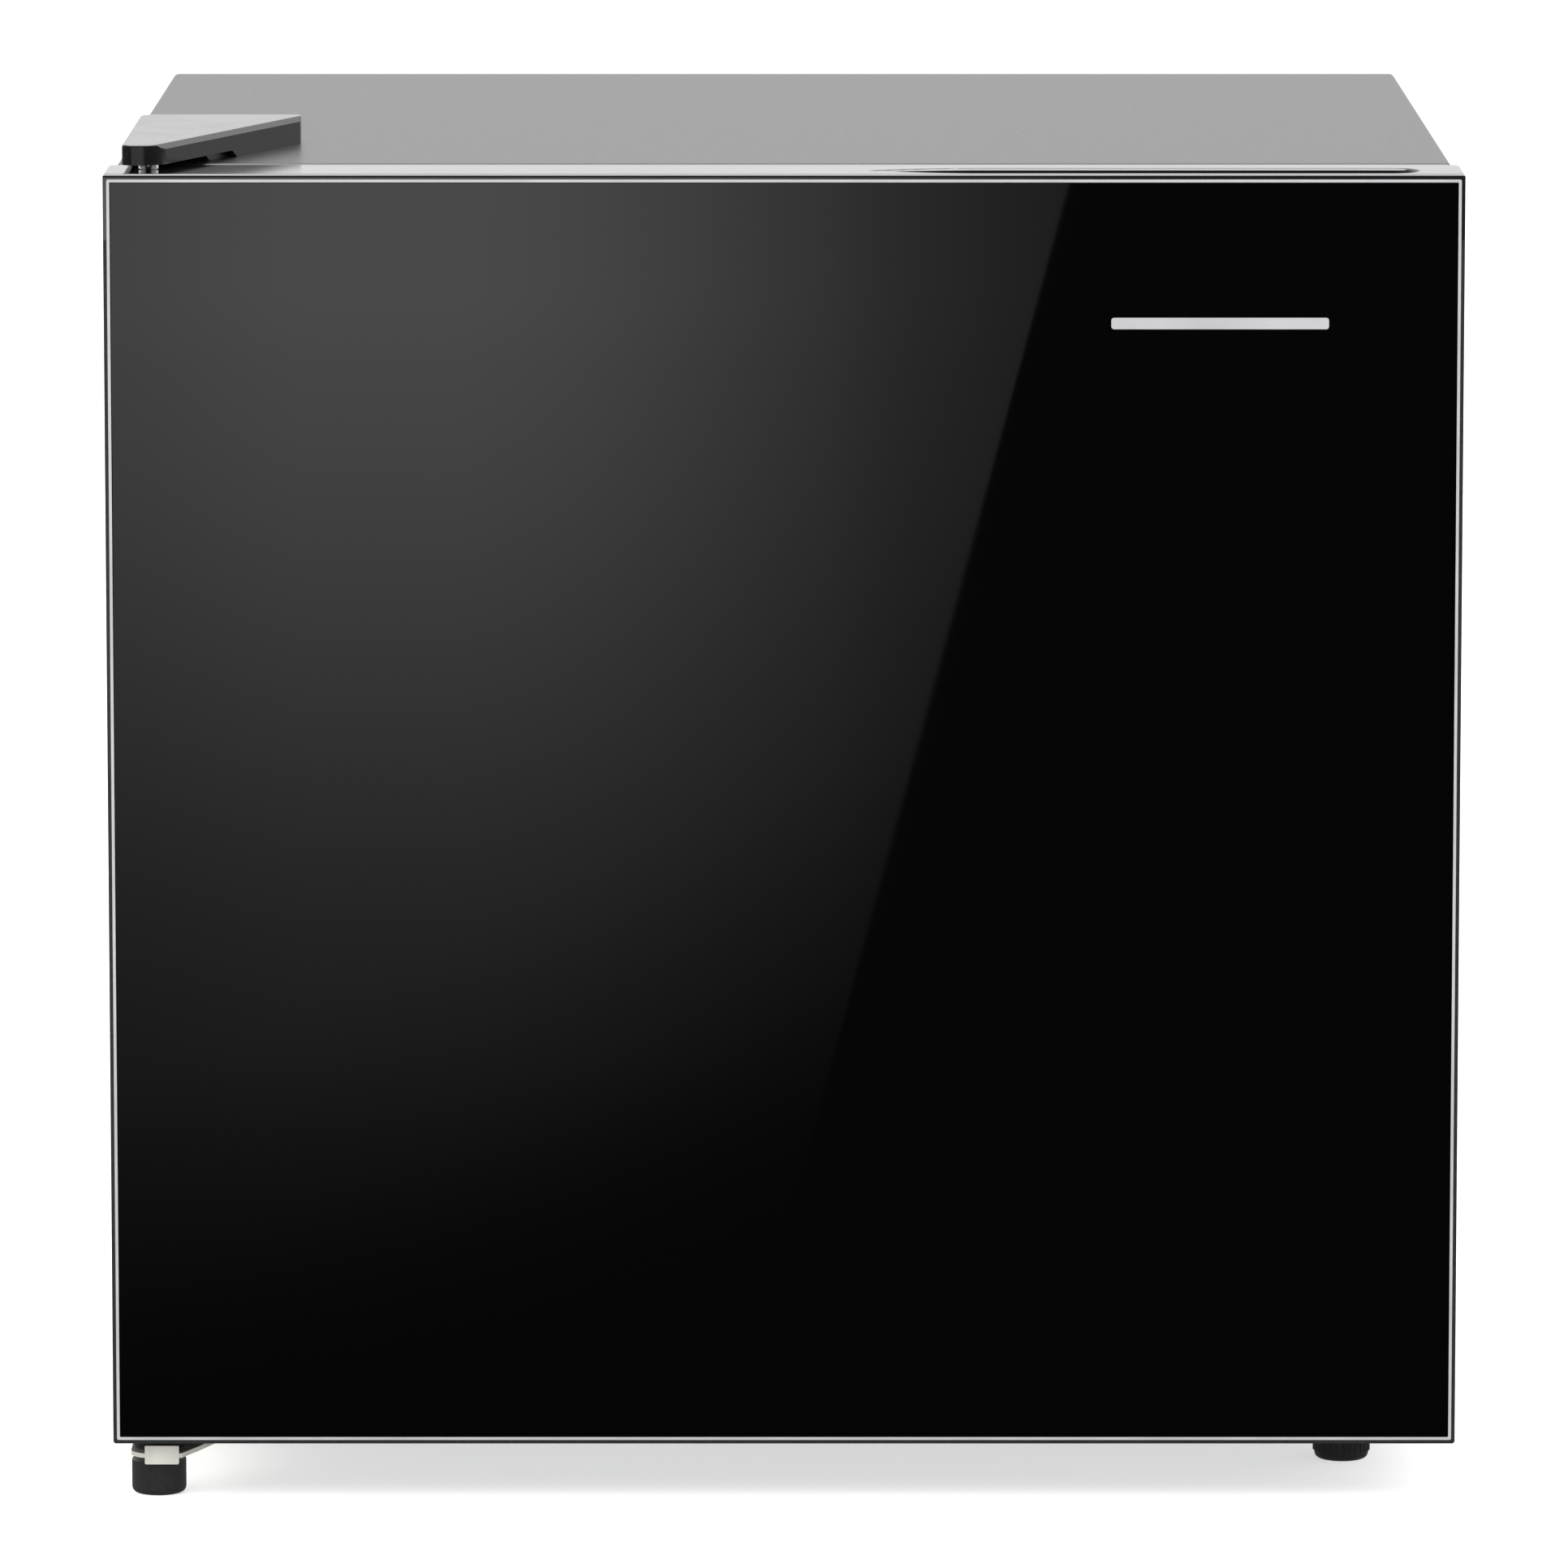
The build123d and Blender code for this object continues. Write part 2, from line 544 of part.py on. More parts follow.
def door_frame():
    """Moulded frame of the door: sides, bottom, a seat for the glass and a lip behind for the liner."""
    frame = block(-DOOR_X, DOOR_X, DOOR_FRONT, DOOR_BACK, DOOR_Z0, CAP_Z0)
    corners = frame.edges().filter_by(Axis.Y).sort_by(Axis.Z)[:2]
    frame = fillet(corners, 1.0)
    inner = DOOR_X - RIM
    frame -= block(-inner, inner, DOOR_FRONT - 1, GLASS_BACK, DOOR_Z0 + RIM, CAP_Z0 + 1)
    frame -= block(-inner, inner, GLASS_BACK + 1.5, DOOR_BACK - 1.5, DOOR_Z0 + RIM, CAP_Z0 - 1.5)
    frame -= block(-inner + 10, inner - 10, DOOR_BACK - 2, DOOR_BACK + 1, DOOR_Z0 + RIM + 10, CAP_Z0 - 10)
    frame -= block(-inner + 14, inner - 14, GLASS_BACK - 1, GLASS_BACK + 2, DOOR_Z0 + RIM + 14, CAP_Z0 - 14)
    return frame - drum(*HINGE, 0, 60, 4.5)


def recess_face(grow=0.0):
    """Plan of the finger recess: drawn out to a point at its left end, round at its right end."""
    y0, y1 = GLASS_BACK + 1.0, -203.0
    x0, x1 = 32.0, 220.0
    radius = (y1 - y0) / 2
    tip = Vector(x0, (y0 + y1) / 2)
    taper = 34.0
    upper = ThreePointArc(tip, (x0 + taper * 0.42, y1 - 3.4), (x0 + taper, y1))
    back = Line((x0 + taper, y1), (x1 - radius, y1))
    end = ThreePointArc((x1 - radius, y1), (x1, tip.Y), (x1 - radius, y0))
    front = Line((x1 - radius, y0), (x0 + taper, y0))
    lower = ThreePointArc((x0 + taper, y0), (x0 + taper * 0.42, y0 + 3.4), tip)
    face = make_face(Curve() + [upper, back, end, front, lower])
    return offset(face, grow) if grow else face


RECESS_Z = 452.0


def door_top_cap():
    """Gloss cap along the door's top edge, with the finger recess."""
    cap = block(-DOOR_X, DOOR_X, DOOR_FRONT, DOOR_BACK, CAP_Z0, DOOR_Z1)
    rim_edges = cap.faces().sort_by(Axis.Z)[-1].edges()
    cap = fillet(rim_edges, 1.2)
    inner = DOOR_X - RIM
    top = DOOR_Z1 - TOP_RIM
    cap -= block(-inner, inner, DOOR_FRONT - 1, GLASS_BACK, CAP_Z0 - 1, top)
    cap -= block(-inner, inner, GLASS_BACK + 1.0, DOOR_BACK - RIM, CAP_Z0 - 1, top)
    tub = extrude(Pos(0, 0, RECESS_Z - 1.3) * recess_face(1.3), top - RECESS_Z + 1.3)
    cap += tub & block(0, inner, GLASS_BACK, DOOR_BACK, CAP_Z0, DOOR_Z1)
    cap -= extrude(Pos(0, 0, RECESS_Z) * recess_face(), 40)
    mouth = cap.edges().filter_by_position(Axis.Z, DOOR_Z1 - 0.01, DOOR_Z1 + 0.01)
    mouth = [edge for edge in mouth if edge.center().X > 30 and GLASS_BACK < edge.center().Y < -200]
    cap = fillet(mouth, 1.6)
    return cap - drum(*HINGE, CAP_Z0 - 1, DOOR_Z1 + 1, 4.5)


def door_glass():
    """Black-backed glass front."""
    inset = RIM + TRIM
    pane = slab_xz(DOOR_X - inset, DOOR_Z0 + inset, DOOR_Z1 - TOP_RIM - TRIM, 0.4, DOOR_FRONT, GLASS_BACK)
    return fillet(pane.faces().sort_by(Axis.Y)[0].edges(), 0.3) - blank_badge()


def glass_trim():
    """Bright strip round the edge of the glass."""
    return ring_xz(DOOR_X - RIM, DOOR_Z0 + RIM, DOOR_Z1 - TOP_RIM, TRIM, 0.6, DOOR_FRONT, GLASS_BACK)


def blank_badge():
    """Plain bright bar, let in flush with the glass."""
    bar = slab_xz(BADGE_LENGTH / 2, -BADGE_HEIGHT / 2, BADGE_HEIGHT / 2, 1.0, DOOR_FRONT, DOOR_FRONT + 0.5)
    return Pos(BADGE_X, 0, BADGE_Z) * bar


def ridges(grow):
    """Two upright ridges and a cross rib that stand back from the door liner, grown by a wall."""
    back = RIDGE_BACK + grow
    body = block(-RIDGE_X1 - grow, -RIDGE_X0 + grow, DOOR_BACK, back, RIDGE_Z0 - grow, RIDGE_Z1 + grow)
    body += block(RIDGE_X0 - grow, RIDGE_X1 + grow, DOOR_BACK, back, RIDGE_Z0 - grow, RIDGE_Z1 + grow)
    return body + block(-RIDGE_X0, RIDGE_X0, DOOR_BACK, DOOR_BACK + 14 + grow, 394 - grow, RIDGE_Z1 + grow)


def door_liner():
    """White moulded back of the door."""
    plate = block(-230, 230, DOOR_BACK, DOOR_BACK + LINER, 27, 463)
    outside = ridges(0)
    outside = fillet(outside.edges().filter_by(Axis.Z).group_by(Axis.Y)[-1], 5)
    liner = plate + outside
    inside = ridges(-LINER) & block(-300, 300, DOOR_BACK - 1, RIDGE_BACK, 0, 500)
    inside = fillet(inside.edges().filter_by(Axis.Z).group_by(Axis.Y)[-1], 3.5)
    return liner - inside - rail_holes()


def door_foam():
    """Foam that fills the door behind the glass and inside the liner's ridges."""
    inner = DOOR_X - RIM
    foam = block(-inner, inner, GLASS_BACK + 1.5, DOOR_BACK, DOOR_Z0 + RIM, CAP_Z0 - 1.5)
    core = ridges(-LINER)
    core = fillet(core.edges().filter_by(Axis.Z).group_by(Axis.Y)[-1], 3.5)
    foam += core & block(-300, 300, DOOR_BACK - 1, 0, 0, 500)
    foam -= rail_holes()
    return foam - door_frame() - drum(*HINGE, 0, 41, 4.5)


def door_gasket():
    """Hollow magnetic seal round the back of the door."""
    y0, y1 = DOOR_BACK + LINER, GASKET_BACK
    low, high = 40.0, 450.0
    seal = ring_xz(GASKET_OUT, low, high, GASKET_W, 3, y0, y1)
    return seal - ring_xz(GASKET_OUT - 5, low + 5, high - 5, GASKET_W - 10, 1, y0 + 2.2, y1 - 1.0)


def gasket_magnets():
    """Four magnetic strips inside the seal."""
    y0, y1 = GASKET_BACK - 4.0, GASKET_BACK - 1.2
    z0, z1 = 46.0, 444.0
    x = GASKET_OUT - 6
    width = 8.0
    group = [block(-x + width + 1, x - width - 1, y0, y1, z, z + width) for z in (z0, z1 - width)]
    group += [block(*sorted((s * x, s * (x - width))), y0, y1, z0, z1) for s in (-1, 1)]
    return Compound(children=group)


def rack(floor, wall):
    """Moulded door rack: floor, front wall and two ends, open at the top."""
    def tub(inset, z0, z1):
        x = RIDGE_X0 - CLEAR - inset
        body = block(-x, x, DOOR_BACK + LINER + inset, RACK_BACK - inset, z0, z1)
        return fillet(body.edges().filter_by(Axis.Z).group_by(Axis.Y)[-1], 14 - inset)
    return tub(0, floor, floor + wall) - tub(RACK_WALL, floor + 2.4, floor + wall + 1)


def rack_rail(floor, height):
    """Wire rail above a rack's front, its two ends sprung into holes in the door's ridges."""
    x, y, z = RIDGE_X0 - 3.0, RACK_BACK - RAIL_R, floor + height
    end = RIDGE_X0 + RAIL_GRIP
    points = [(-end, RAIL_Y, z), (-x, RAIL_Y, z), (-x, y, z), (x, y, z), (x, RAIL_Y, z), (end, RAIL_Y, z)]
    return pipe(points, [2.8, 10.0, 10.0, 2.8], RAIL_R)


def rail_holes():
    """Holes in the ridges for the ends of both rails."""
    group = []
    for floor, _, height in (LOWER_RACK, UPPER_RACK):
        for side in (-1, 1):
            near, far = ((side * x, RAIL_Y, floor + height) for x in (RIDGE_X0 - 1, RIDGE_X0 + RAIL_GRIP))
            group.append(rod(near, far, RAIL_R))
    return Compound(children=group)


def door_top_bushing():
    """Flanged bush in the top cap."""
    bush = drum(*HINGE, CAP_Z0 + 2, DOOR_Z1, 4.5)
    return bush - drum(*HINGE, CAP_Z0, DOOR_Z1 + 1, PIN_R + RUNNING_FIT)


def door_bottom_bushing():
    """Flanged bush in the door's bottom edge: the door's weight stands on its flange."""
    bush = drum(*HINGE, DOOR_Z0, 41, 4.5) + drum(*HINGE, NOSE_Z + LOWER_PLATE + CLEAR, DOOR_Z0, 8.6)
    return bush - drum(*HINGE, 10, 60, PIN_R + RUNNING_FIT)


# ---- inside the room ----------------------------------------------------------------------------
def chiller_box():
    """Roll-bonded aluminium evaporator, bent into a small compartment that is open at the front."""
    mid_x = (CHILL_X0 + CHILL_X1) / 2
    half = (CHILL_X1 - CHILL_X0) / 2
    outer = Pos(mid_x, 0, 0) * slab_xz(half, CHILL_Z0, CHILL_Z1, 9, CHILL_FRONT, CHILL_BACK)
    inner = Pos(mid_x, 0, 0) * slab_xz(half - CHILL_SHEET, CHILL_Z0 + CHILL_SHEET, CHILL_Z1 - CHILL_SHEET,
                                       9 - CHILL_SHEET, CHILL_FRONT - 1, CHILL_BACK - CHILL_SHEET)
    return outer - inner


def chiller_hangers():
    """Four pads that hold the chiller under the ceiling."""
    group = []
    for x in (CHILL_X0 + 30, CHILL_X1 - 30):
        for y in (-15, 120):
            group.append(block(x - 10, x + 10, y - 8, y + 8, CHILL_Z1, ROOM_Z1))
    return Compound(children=group)


def chiller_frame():
    """Moulded surround on the chiller's front edge, with an ear at each end for the flap's pins."""
    mid_x = (CHILL_X0 + CHILL_X1) / 2
    half = (CHILL_X1 - CHILL_X0) / 2
    centre = Pos(mid_x, 0, 0)
    frame = centre * slab_xz(half + 5, CHILL_Z0 - 4, ROOM_Z1 - 0.4, 5, CHILL_FRONT - 6.5, CHILL_FRONT + 8)
    frame -= centre * slab_xz(half, CHILL_Z0, CHILL_Z1, 9, CHILL_FRONT, CHILL_FRONT + 9)
    frame -= centre * slab_xz(half - 6, CHILL_Z0 + 6, CHILL_Z1 - 6, 6, CHILL_FRONT - 8, CHILL_FRONT + 1)
    for x0, x1 in ((CHILL_X0 - 5, CHILL_X0 - 1), (CHILL_X1 + 1, CHILL_X1 + 5)):
        ear = block(x0, x1, FLAP_PIVOT[0] - 4, CHILL_FRONT - 6, FLAP_PIVOT[1] - 8, FLAP_PIVOT[1] + 4)
        frame += ear
    y, z = FLAP_PIVOT
    return frame - rod((CHILL_X0 - 9, y, z), (CHILL_X1 + 9, y, z), 2.0 + RUNNING_FIT)


def chiller_flap():
    """Flap over the chiller's mouth, hinged along its top edge, with a finger lip at the bottom."""
    y, z = FLAP_PIVOT
    half = FLAP_THICK / 2
    x0, x1 = CHILL_X0 - 1 + 0.5, CHILL_X1 + 1 - 0.5
    flap = block(x0, x1, y - half, y + half, FLAP_Z0, z) + rod((x0, y, z), (x1, y, z), half)
    flap = fillet(flap.edges().filter_by(Axis.X).sort_by(Axis.Z)[0:2], 1.5)
    mid = (x0 + x1) / 2
    lip = block(mid - 35, mid + 35, y - half - 5, y - half + 1, FLAP_Z0 + 4, FLAP_Z0 + 8)
    flap += fillet(lip.edges().filter_by(Axis.Z).sort_by(Axis.Y)[0:2], 2.5)
    return flap - rod((x0 - 1, y, z), (x1 + 1, y, z), 2.0)


def flap_pin():
    """Wire axle through the flap, which turns in the frame's ears."""
    y, z = FLAP_PIVOT
    return rod((CHILL_X0 - 4.6, y, z), (CHILL_X1 + 4.6, y, z), 2.0)


def tray_rails():
    """Two angle rails under the chiller that carry the drip tray."""
    group = []
    foot_top = TRAY_Z1 - 2.3
    for side, x in ((1, CHILL_X0 + 1), (-1, CHILL_X1 - 1)):
        leg = block(*sorted((x, x + side * 2)), CHILL_FRONT + 9, TRAY_BACK + 4, foot_top - 2, CHILL_Z0 + 0.6)
        foot = block(*sorted((x, x + side * 8)), CHILL_FRONT + 9, TRAY_BACK + 4, foot_top - 2, foot_top)
        group.append(leg + foot)
    return Compound(children=group)


def drip_tray():
    """Shallow tray that hangs by its side flanges on the rails."""
    x0, x1 = CHILL_X0 + 10, CHILL_X1 - 10
    tray = block(x0, x1, TRAY_FRONT, TRAY_BACK, TRAY_Z0, TRAY_Z1)
    tray = fillet(tray.edges().filter_by(Axis.Z), 6)
    edge = 3 + CLEAR
    flange = block(CHILL_X0 + edge, CHILL_X1 - edge, CHILL_FRONT + 8, TRAY_BACK - 6, TRAY_Z1 - 2, TRAY_Z1)
    grip = block(x0 + 90, x1 - 90, TRAY_FRONT - 6, TRAY_FRONT + 5, TRAY_Z1 - 2.5, TRAY_Z1)
    tray += flange + grip
    inner = block(x0 + 1.6, x1 - 1.6, TRAY_FRONT + 1.6, TRAY_BACK - 1.6, TRAY_Z0 + 1.8, TRAY_Z1 + 1)
    return tray - fillet(inner.edges().filter_by(Axis.Z), 4.5)


def wire_shelf():
    """Shelf of coated wire: a rounded frame, a middle bar and thinner wires from front to back."""
    x = ROOM_X - 4.5
    loop = [(-x, SHELF_FRONT, SHELF_Z), (x, SHELF_FRONT, SHELF_Z), (x, SHELF_BACK, SHELF_Z),
            (-x, SHELF_BACK, SHELF_Z)]
    path = FilletPolyline(*loop, radius=12, close=True)
    shelf = sweep(Plane(origin=path @ 0, z_dir=path % 0) * Circle(SHELF_R), path=path)
    for y in (-20.0, 95.0):
        shelf += rod((-x, y, SHELF_Z), (x, y, SHELF_Z), 2.0)
    count = 17
    for i in range(count):
        wire_x = (i - (count - 1) / 2) * 22.0
        shelf += rod((wire_x, SHELF_FRONT, SHELF_Z), (wire_x, SHELF_BACK, SHELF_Z), 1.5)
    return shelf


def thermostat_housing():
    """Cover under the ceiling for the temperature control."""
    shell = block(THERMO_X0, THERMO_X1, THERMO_Y0, THERMO_Y1, THERMO_Z0, ROOM_Z1)
    lower = shell.edges().filter_by(Axis.Y).sort_by(Axis.Z)[:2]
    shell = fillet(lower, 5)
    shell -= block(THERMO_X0 + 2, THERMO_X1 - 2, THERMO_Y0 + 2, THERMO_Y1 - 2, THERMO_Z0 + 2, ROOM_Z1 + 1)
    return shell - rod((KNOB_X, THERMO_Y0 - 1, KNOB_Z), (KNOB_X, THERMO_Y0 + 3, KNOB_Z), 4.0)


def thermostat_control():
    """Temperature control inside the cover."""
    body = block(KNOB_X - 17, KNOB_X + 17, THERMO_Y0 + 2, THERMO_Y0 + 26, KNOB_Z - 12, KNOB_Z + 12)
    return body - rod((KNOB_X, THERMO_Y0, KNOB_Z), (KNOB_X, THERMO_Y0 + 18, KNOB_Z), PIN_R + RUNNING_FIT)


def thermostat_shaft():
    """Shaft that carries the knob."""
    return rod((KNOB_X, THERMO_Y0 - 9, KNOB_Z), (KNOB_X, THERMO_Y0 + 17, KNOB_Z), PIN_R)


def thermostat_knob():
    """Round knob with a straight grip across it."""
    front, back = THERMO_Y0 - 14, THERMO_Y0 - 0.5
    knob = rod((KNOB_X, back - 4, KNOB_Z), (KNOB_X, back, KNOB_Z), KNOB_R)
    knob = fillet(knob.edges().filter_by(GeomType.CIRCLE).sort_by(Axis.Y)[0], 1.5)
    grip = block(KNOB_X - 3.5, KNOB_X + 3.5, front, back - 2, KNOB_Z - 14, KNOB_Z + 14)
    knob += fillet(grip.edges().filter_by(Axis.Z).sort_by(Axis.Y)[:2], 2.0)
    return knob - rod((KNOB_X, THERMO_Y0 - 9, KNOB_Z), (KNOB_X, THERMO_Y0 + 17, KNOB_Z), PIN_R)


def discharge_line():
    """Hot line from the compressor to the foot of the condenser."""
    reach = (COMP_R - 3) / sqrt(2)
    points = [(COMP[0] + reach, COMP[1] + reach, 70.0), (COMP[0] + reach + 18, COMP[1] + reach + 18, 70.0),
              (150.0, 204.0, 78.0), (COIL_X + 18, COIL_Y, 98.0), (COIL_X + 18, COIL_Y, 120.0)]
    tube = pipe(points, 9.0, COIL_R)
    return tube - drum(*COMP, 30, 90, COMP_R)


def suction_line():
    """Cold return line from the room to the compressor."""
    x, y = SUCTION_PORT
    end_y = COMP[1] + 4
    points = [(x, y, WELL_Z + 12), (x, y, 112.0), (x + 16, end_y, 100.0), (COMP[0] - 40, end_y, 100.0)]
    tube = pipe(points, 12.0, SUCTION_R)
    return tube - drum(*COMP, 80, 130, COMP_R + 2)


def filter_drier():
    """Filter drier between the condenser and the capillary tube."""
    x, y = DRIER
    body = drum(x, y, DRIER_Z0 + 10, DRIER_Z1 - 10, 8.0)
    body = fillet(body.edges().filter_by(GeomType.CIRCLE), 4)
    return body + drum(x, y, DRIER_Z1 - 12, DRIER_Z1, 3.2) + drum(x, y, DRIER_Z0, DRIER_Z0 + 12, 2.0)


def capillary_tube():
    """Thin tube from the drier to the chiller."""
    x, y = DRIER
    cx, cy = CAPILLARY_PORT
    points = [(x, y, DRIER_Z0), (x, y, 35.0), (x + 34, y - 14, 34.0), (cx, cy, 62.0), (cx, cy, WELL_Z + 12)]
    return pipe(points, 6.0, CAPILLARY_R)


# ---- write every sub-part -----------------------------------------------------------------------
MAKERS = [
    cabinet_wrap, bottom_pan, rear_panel, panel_screws, cabinet_foam, inner_liner,
    top_hinge_bracket, top_hinge_pin, hinge_cover, lower_hinge_bracket, lower_hinge_pin, lower_pin_nut,
    chassis_screws, left_foot, right_foot, right_foot_stud, front_foot_nut, rear_feet,
    compressor_rail, compressor_grommets, compressor_bolts, compressor_lower_shell,
    compressor_upper_shell, terminal_cover, power_inlet_gland, condenser_coil, condenser_wires,
    condenser_clips, wall_spacers, discharge_line, suction_line, filter_drier, capillary_tube,
    door_frame, door_top_cap, door_glass, glass_trim, blank_badge, door_foam, door_liner, door_gasket,
    gasket_magnets, door_top_bushing, door_bottom_bushing,
    chiller_box, chiller_hangers, chiller_frame, chiller_flap, flap_pin, tray_rails, drip_tray, wire_shelf,
    thermostat_housing, thermostat_control, thermostat_shaft, thermostat_knob,
]


def rack_with_rail(name, floor, wall, height):
    """One door rack and the wire rail that stands in it."""
    save(name, rack(floor, wall))
    save(name + "_rail", rack_rail(floor, height))


def main():
    os.makedirs("parts", exist_ok=True)
    for maker in MAKERS:
        save(maker.__name__, maker())
    rack_with_rail("lower_rack", *LOWER_RACK)
    rack_with_rail("upper_rack", *UPPER_RACK)


main()
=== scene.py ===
import json
import math

import bmesh
import bpy
from mathutils import Matrix, Vector

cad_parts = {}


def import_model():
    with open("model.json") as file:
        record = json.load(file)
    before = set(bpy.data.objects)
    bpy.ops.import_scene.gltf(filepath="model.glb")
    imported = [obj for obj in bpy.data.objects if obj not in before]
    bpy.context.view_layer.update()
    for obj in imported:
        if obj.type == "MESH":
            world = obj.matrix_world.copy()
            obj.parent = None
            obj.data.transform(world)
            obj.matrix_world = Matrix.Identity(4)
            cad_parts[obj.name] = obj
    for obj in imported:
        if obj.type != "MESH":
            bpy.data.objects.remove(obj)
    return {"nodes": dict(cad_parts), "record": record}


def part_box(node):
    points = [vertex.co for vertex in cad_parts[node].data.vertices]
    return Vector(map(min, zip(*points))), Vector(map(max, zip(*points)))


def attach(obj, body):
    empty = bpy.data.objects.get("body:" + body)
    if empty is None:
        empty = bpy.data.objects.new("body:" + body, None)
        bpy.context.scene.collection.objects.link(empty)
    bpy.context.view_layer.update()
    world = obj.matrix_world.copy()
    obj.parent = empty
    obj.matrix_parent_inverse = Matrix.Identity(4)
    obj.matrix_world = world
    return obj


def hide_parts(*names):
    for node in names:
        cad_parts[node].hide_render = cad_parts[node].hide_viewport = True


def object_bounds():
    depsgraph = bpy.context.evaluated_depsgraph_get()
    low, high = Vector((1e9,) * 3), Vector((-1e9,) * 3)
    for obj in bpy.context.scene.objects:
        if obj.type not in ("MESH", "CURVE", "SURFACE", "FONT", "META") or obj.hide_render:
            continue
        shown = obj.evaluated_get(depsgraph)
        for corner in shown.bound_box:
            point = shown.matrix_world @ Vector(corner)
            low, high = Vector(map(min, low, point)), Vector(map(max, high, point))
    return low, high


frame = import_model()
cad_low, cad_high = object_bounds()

MM = 0.001
nodes_by_name = frame["nodes"]


# ---- where things are, from the frame -----------------------------------------------------------
glass_low, glass_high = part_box("door_glass")
cap_low, cap_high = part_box("door_top_cap")
gasket_low, gasket_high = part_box("door_gasket")
chiller_low, chiller_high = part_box("chiller_box")
knob_low, knob_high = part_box("thermostat_knob")
housing_low, housing_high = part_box("thermostat_housing")
panel_low, panel_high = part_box("rear_panel")
DOOR_FRONT = cad_low.y
DOOR_TOP = cap_high.z


# ---- material helpers ---------------------------------------------------------------------------
class Paint:
    """A principled material, with short calls for procedural detail."""

    def __init__(self, name, color, roughness, metallic=0.0):
        self.material = bpy.data.materials.new(name)
        self.material.use_nodes = True
        self.tree = self.material.node_tree
        self.shader = self.tree.nodes["Principled BSDF"]
        self.set("Base Color", (*color, 1.0))
        self.set("Roughness", roughness)
        self.set("Metallic", metallic)
        self.color = color
        self.place = self.tree.nodes.new("ShaderNodeTexCoord").outputs["Object"]
        self.last_bump = None

    def set(self, socket, value):
        self.shader.inputs[socket].default_value = value
        return self

    def link(self, output, socket):
        self.tree.links.new(output, socket)

    def stretched(self, scale):
        """The place on the object, scaled by three factors, for grain that runs one way."""
        mapping = self.tree.nodes.new("ShaderNodeMapping")
        mapping.inputs["Scale"].default_value = scale
        self.link(self.place, mapping.inputs["Vector"])
        return mapping.outputs["Vector"]

    def noise(self, scale, detail=2.0, place=None, distortion=0.0):
        node = self.tree.nodes.new("ShaderNodeTexNoise")
        node.inputs["Scale"].default_value = scale
        node.inputs["Detail"].default_value = detail
        node.inputs["Distortion"].default_value = distortion
        self.link(place or self.place, node.inputs["Vector"])
        return node.outputs["Fac"]

    def cells(self, scale, output="Distance", place=None):
        node = self.tree.nodes.new("ShaderNodeTexVoronoi")
        node.inputs["Scale"].default_value = scale
        self.link(place or self.place, node.inputs["Vector"])
        return node.outputs[output]

    def ranged(self, value, low, high, start=0.3, end=0.7):
        """A texture value spread over a range of numbers."""
        node = self.tree.nodes.new("ShaderNodeMapRange")
        node.inputs["From Min"].default_value = start
        node.inputs["From Max"].default_value = end
        node.inputs["To Min"].default_value = low
        node.inputs["To Max"].default_value = high
        self.link(value, node.inputs["Value"])
        return node.outputs["Result"]

    def rough(self, value, low, high):
        self.link(self.ranged(value, low, high), self.shader.inputs["Roughness"])
        return self

    def tint(self, value, dark, light, start=0.3, end=0.7):
        """Colour that varies with a texture between two multiples of the base colour."""
        ramp = self.tree.nodes.new("ShaderNodeValToRGB")
        first, last = ramp.color_ramp.elements
        first.position, last.position = start, end
        first.color = (*[min(1.0, c * dark) for c in self.color], 1.0)
        last.color = (*[min(1.0, c * light) for c in self.color], 1.0)
        self.link(value, ramp.inputs["Fac"])
        self.link(ramp.outputs["Color"], self.shader.inputs["Base Color"])
        return self

    def bump(self, value, strength, distance):
        """Relief; a second call adds to the first."""
        node = self.tree.nodes.new("ShaderNodeBump")
        node.inputs["Strength"].default_value = strength
        node.inputs["Distance"].default_value = distance
        self.link(value, node.inputs["Height"])
        if self.last_bump is not None:
            self.link(self.last_bump, node.inputs["Normal"])
        self.link(node.outputs["Normal"], self.shader.inputs["Normal"])
        self.last_bump = node.outputs["Normal"]
        return self


# ---- one function for each finish ---------------------------------------------------------------
def painted_steel():
    """Black cabinet paint with a fine, even texture."""
    paint = Paint("painted_steel", (0.015, 0.015, 0.0155), 0.32)
    paint.set("IOR", 1.49)
    paint.rough(paint.noise(420.0, 1.0), 0.318, 0.334)
    paint.tint(paint.noise(900.0, 2.0), 0.8, 1.3)
    return paint.bump(paint.noise(1100.0, 1.0), 0.35, 0.00012).material


def galvanised_steel():
    steel = Paint("galvanised_steel", (0.36, 0.37, 0.38), 0.42, 0.85)
    spangle = steel.cells(110.0, "Color")
    steel.rough(spangle, 0.36, 0.54)
    steel.tint(steel.noise(60.0, 4.0), 0.8, 1.15)
    return steel.bump(steel.noise(420.0), 0.15, 0.0001).material


def zinc_plate():
    zinc = Paint("zinc_plate", (0.66, 0.64, 0.58), 0.40, 0.25)
    zinc.rough(zinc.noise(160.0, 4.0), 0.32, 0.52)
    zinc.tint(zinc.noise(85.0, 5.0), 0.86, 1.12)
    return zinc.bump(zinc.noise(1100.0), 0.25, 0.00008).material


def chromed_steel():
    chrome = Paint("chromed_steel", (0.80, 0.81, 0.82), 0.08, 1.0)
    chrome.rough(chrome.noise(90.0, 3.0), 0.05, 0.13)
    return chrome.bump(chrome.noise(300.0), 0.05, 0.00004).material


def foam():
    body = Paint("foam", (0.82, 0.71, 0.42), 0.85)
    body.tint(body.noise(120.0, 5.0), 0.85, 1.1)
    return body.bump(body.cells(700.0), 0.7, 0.0006).material


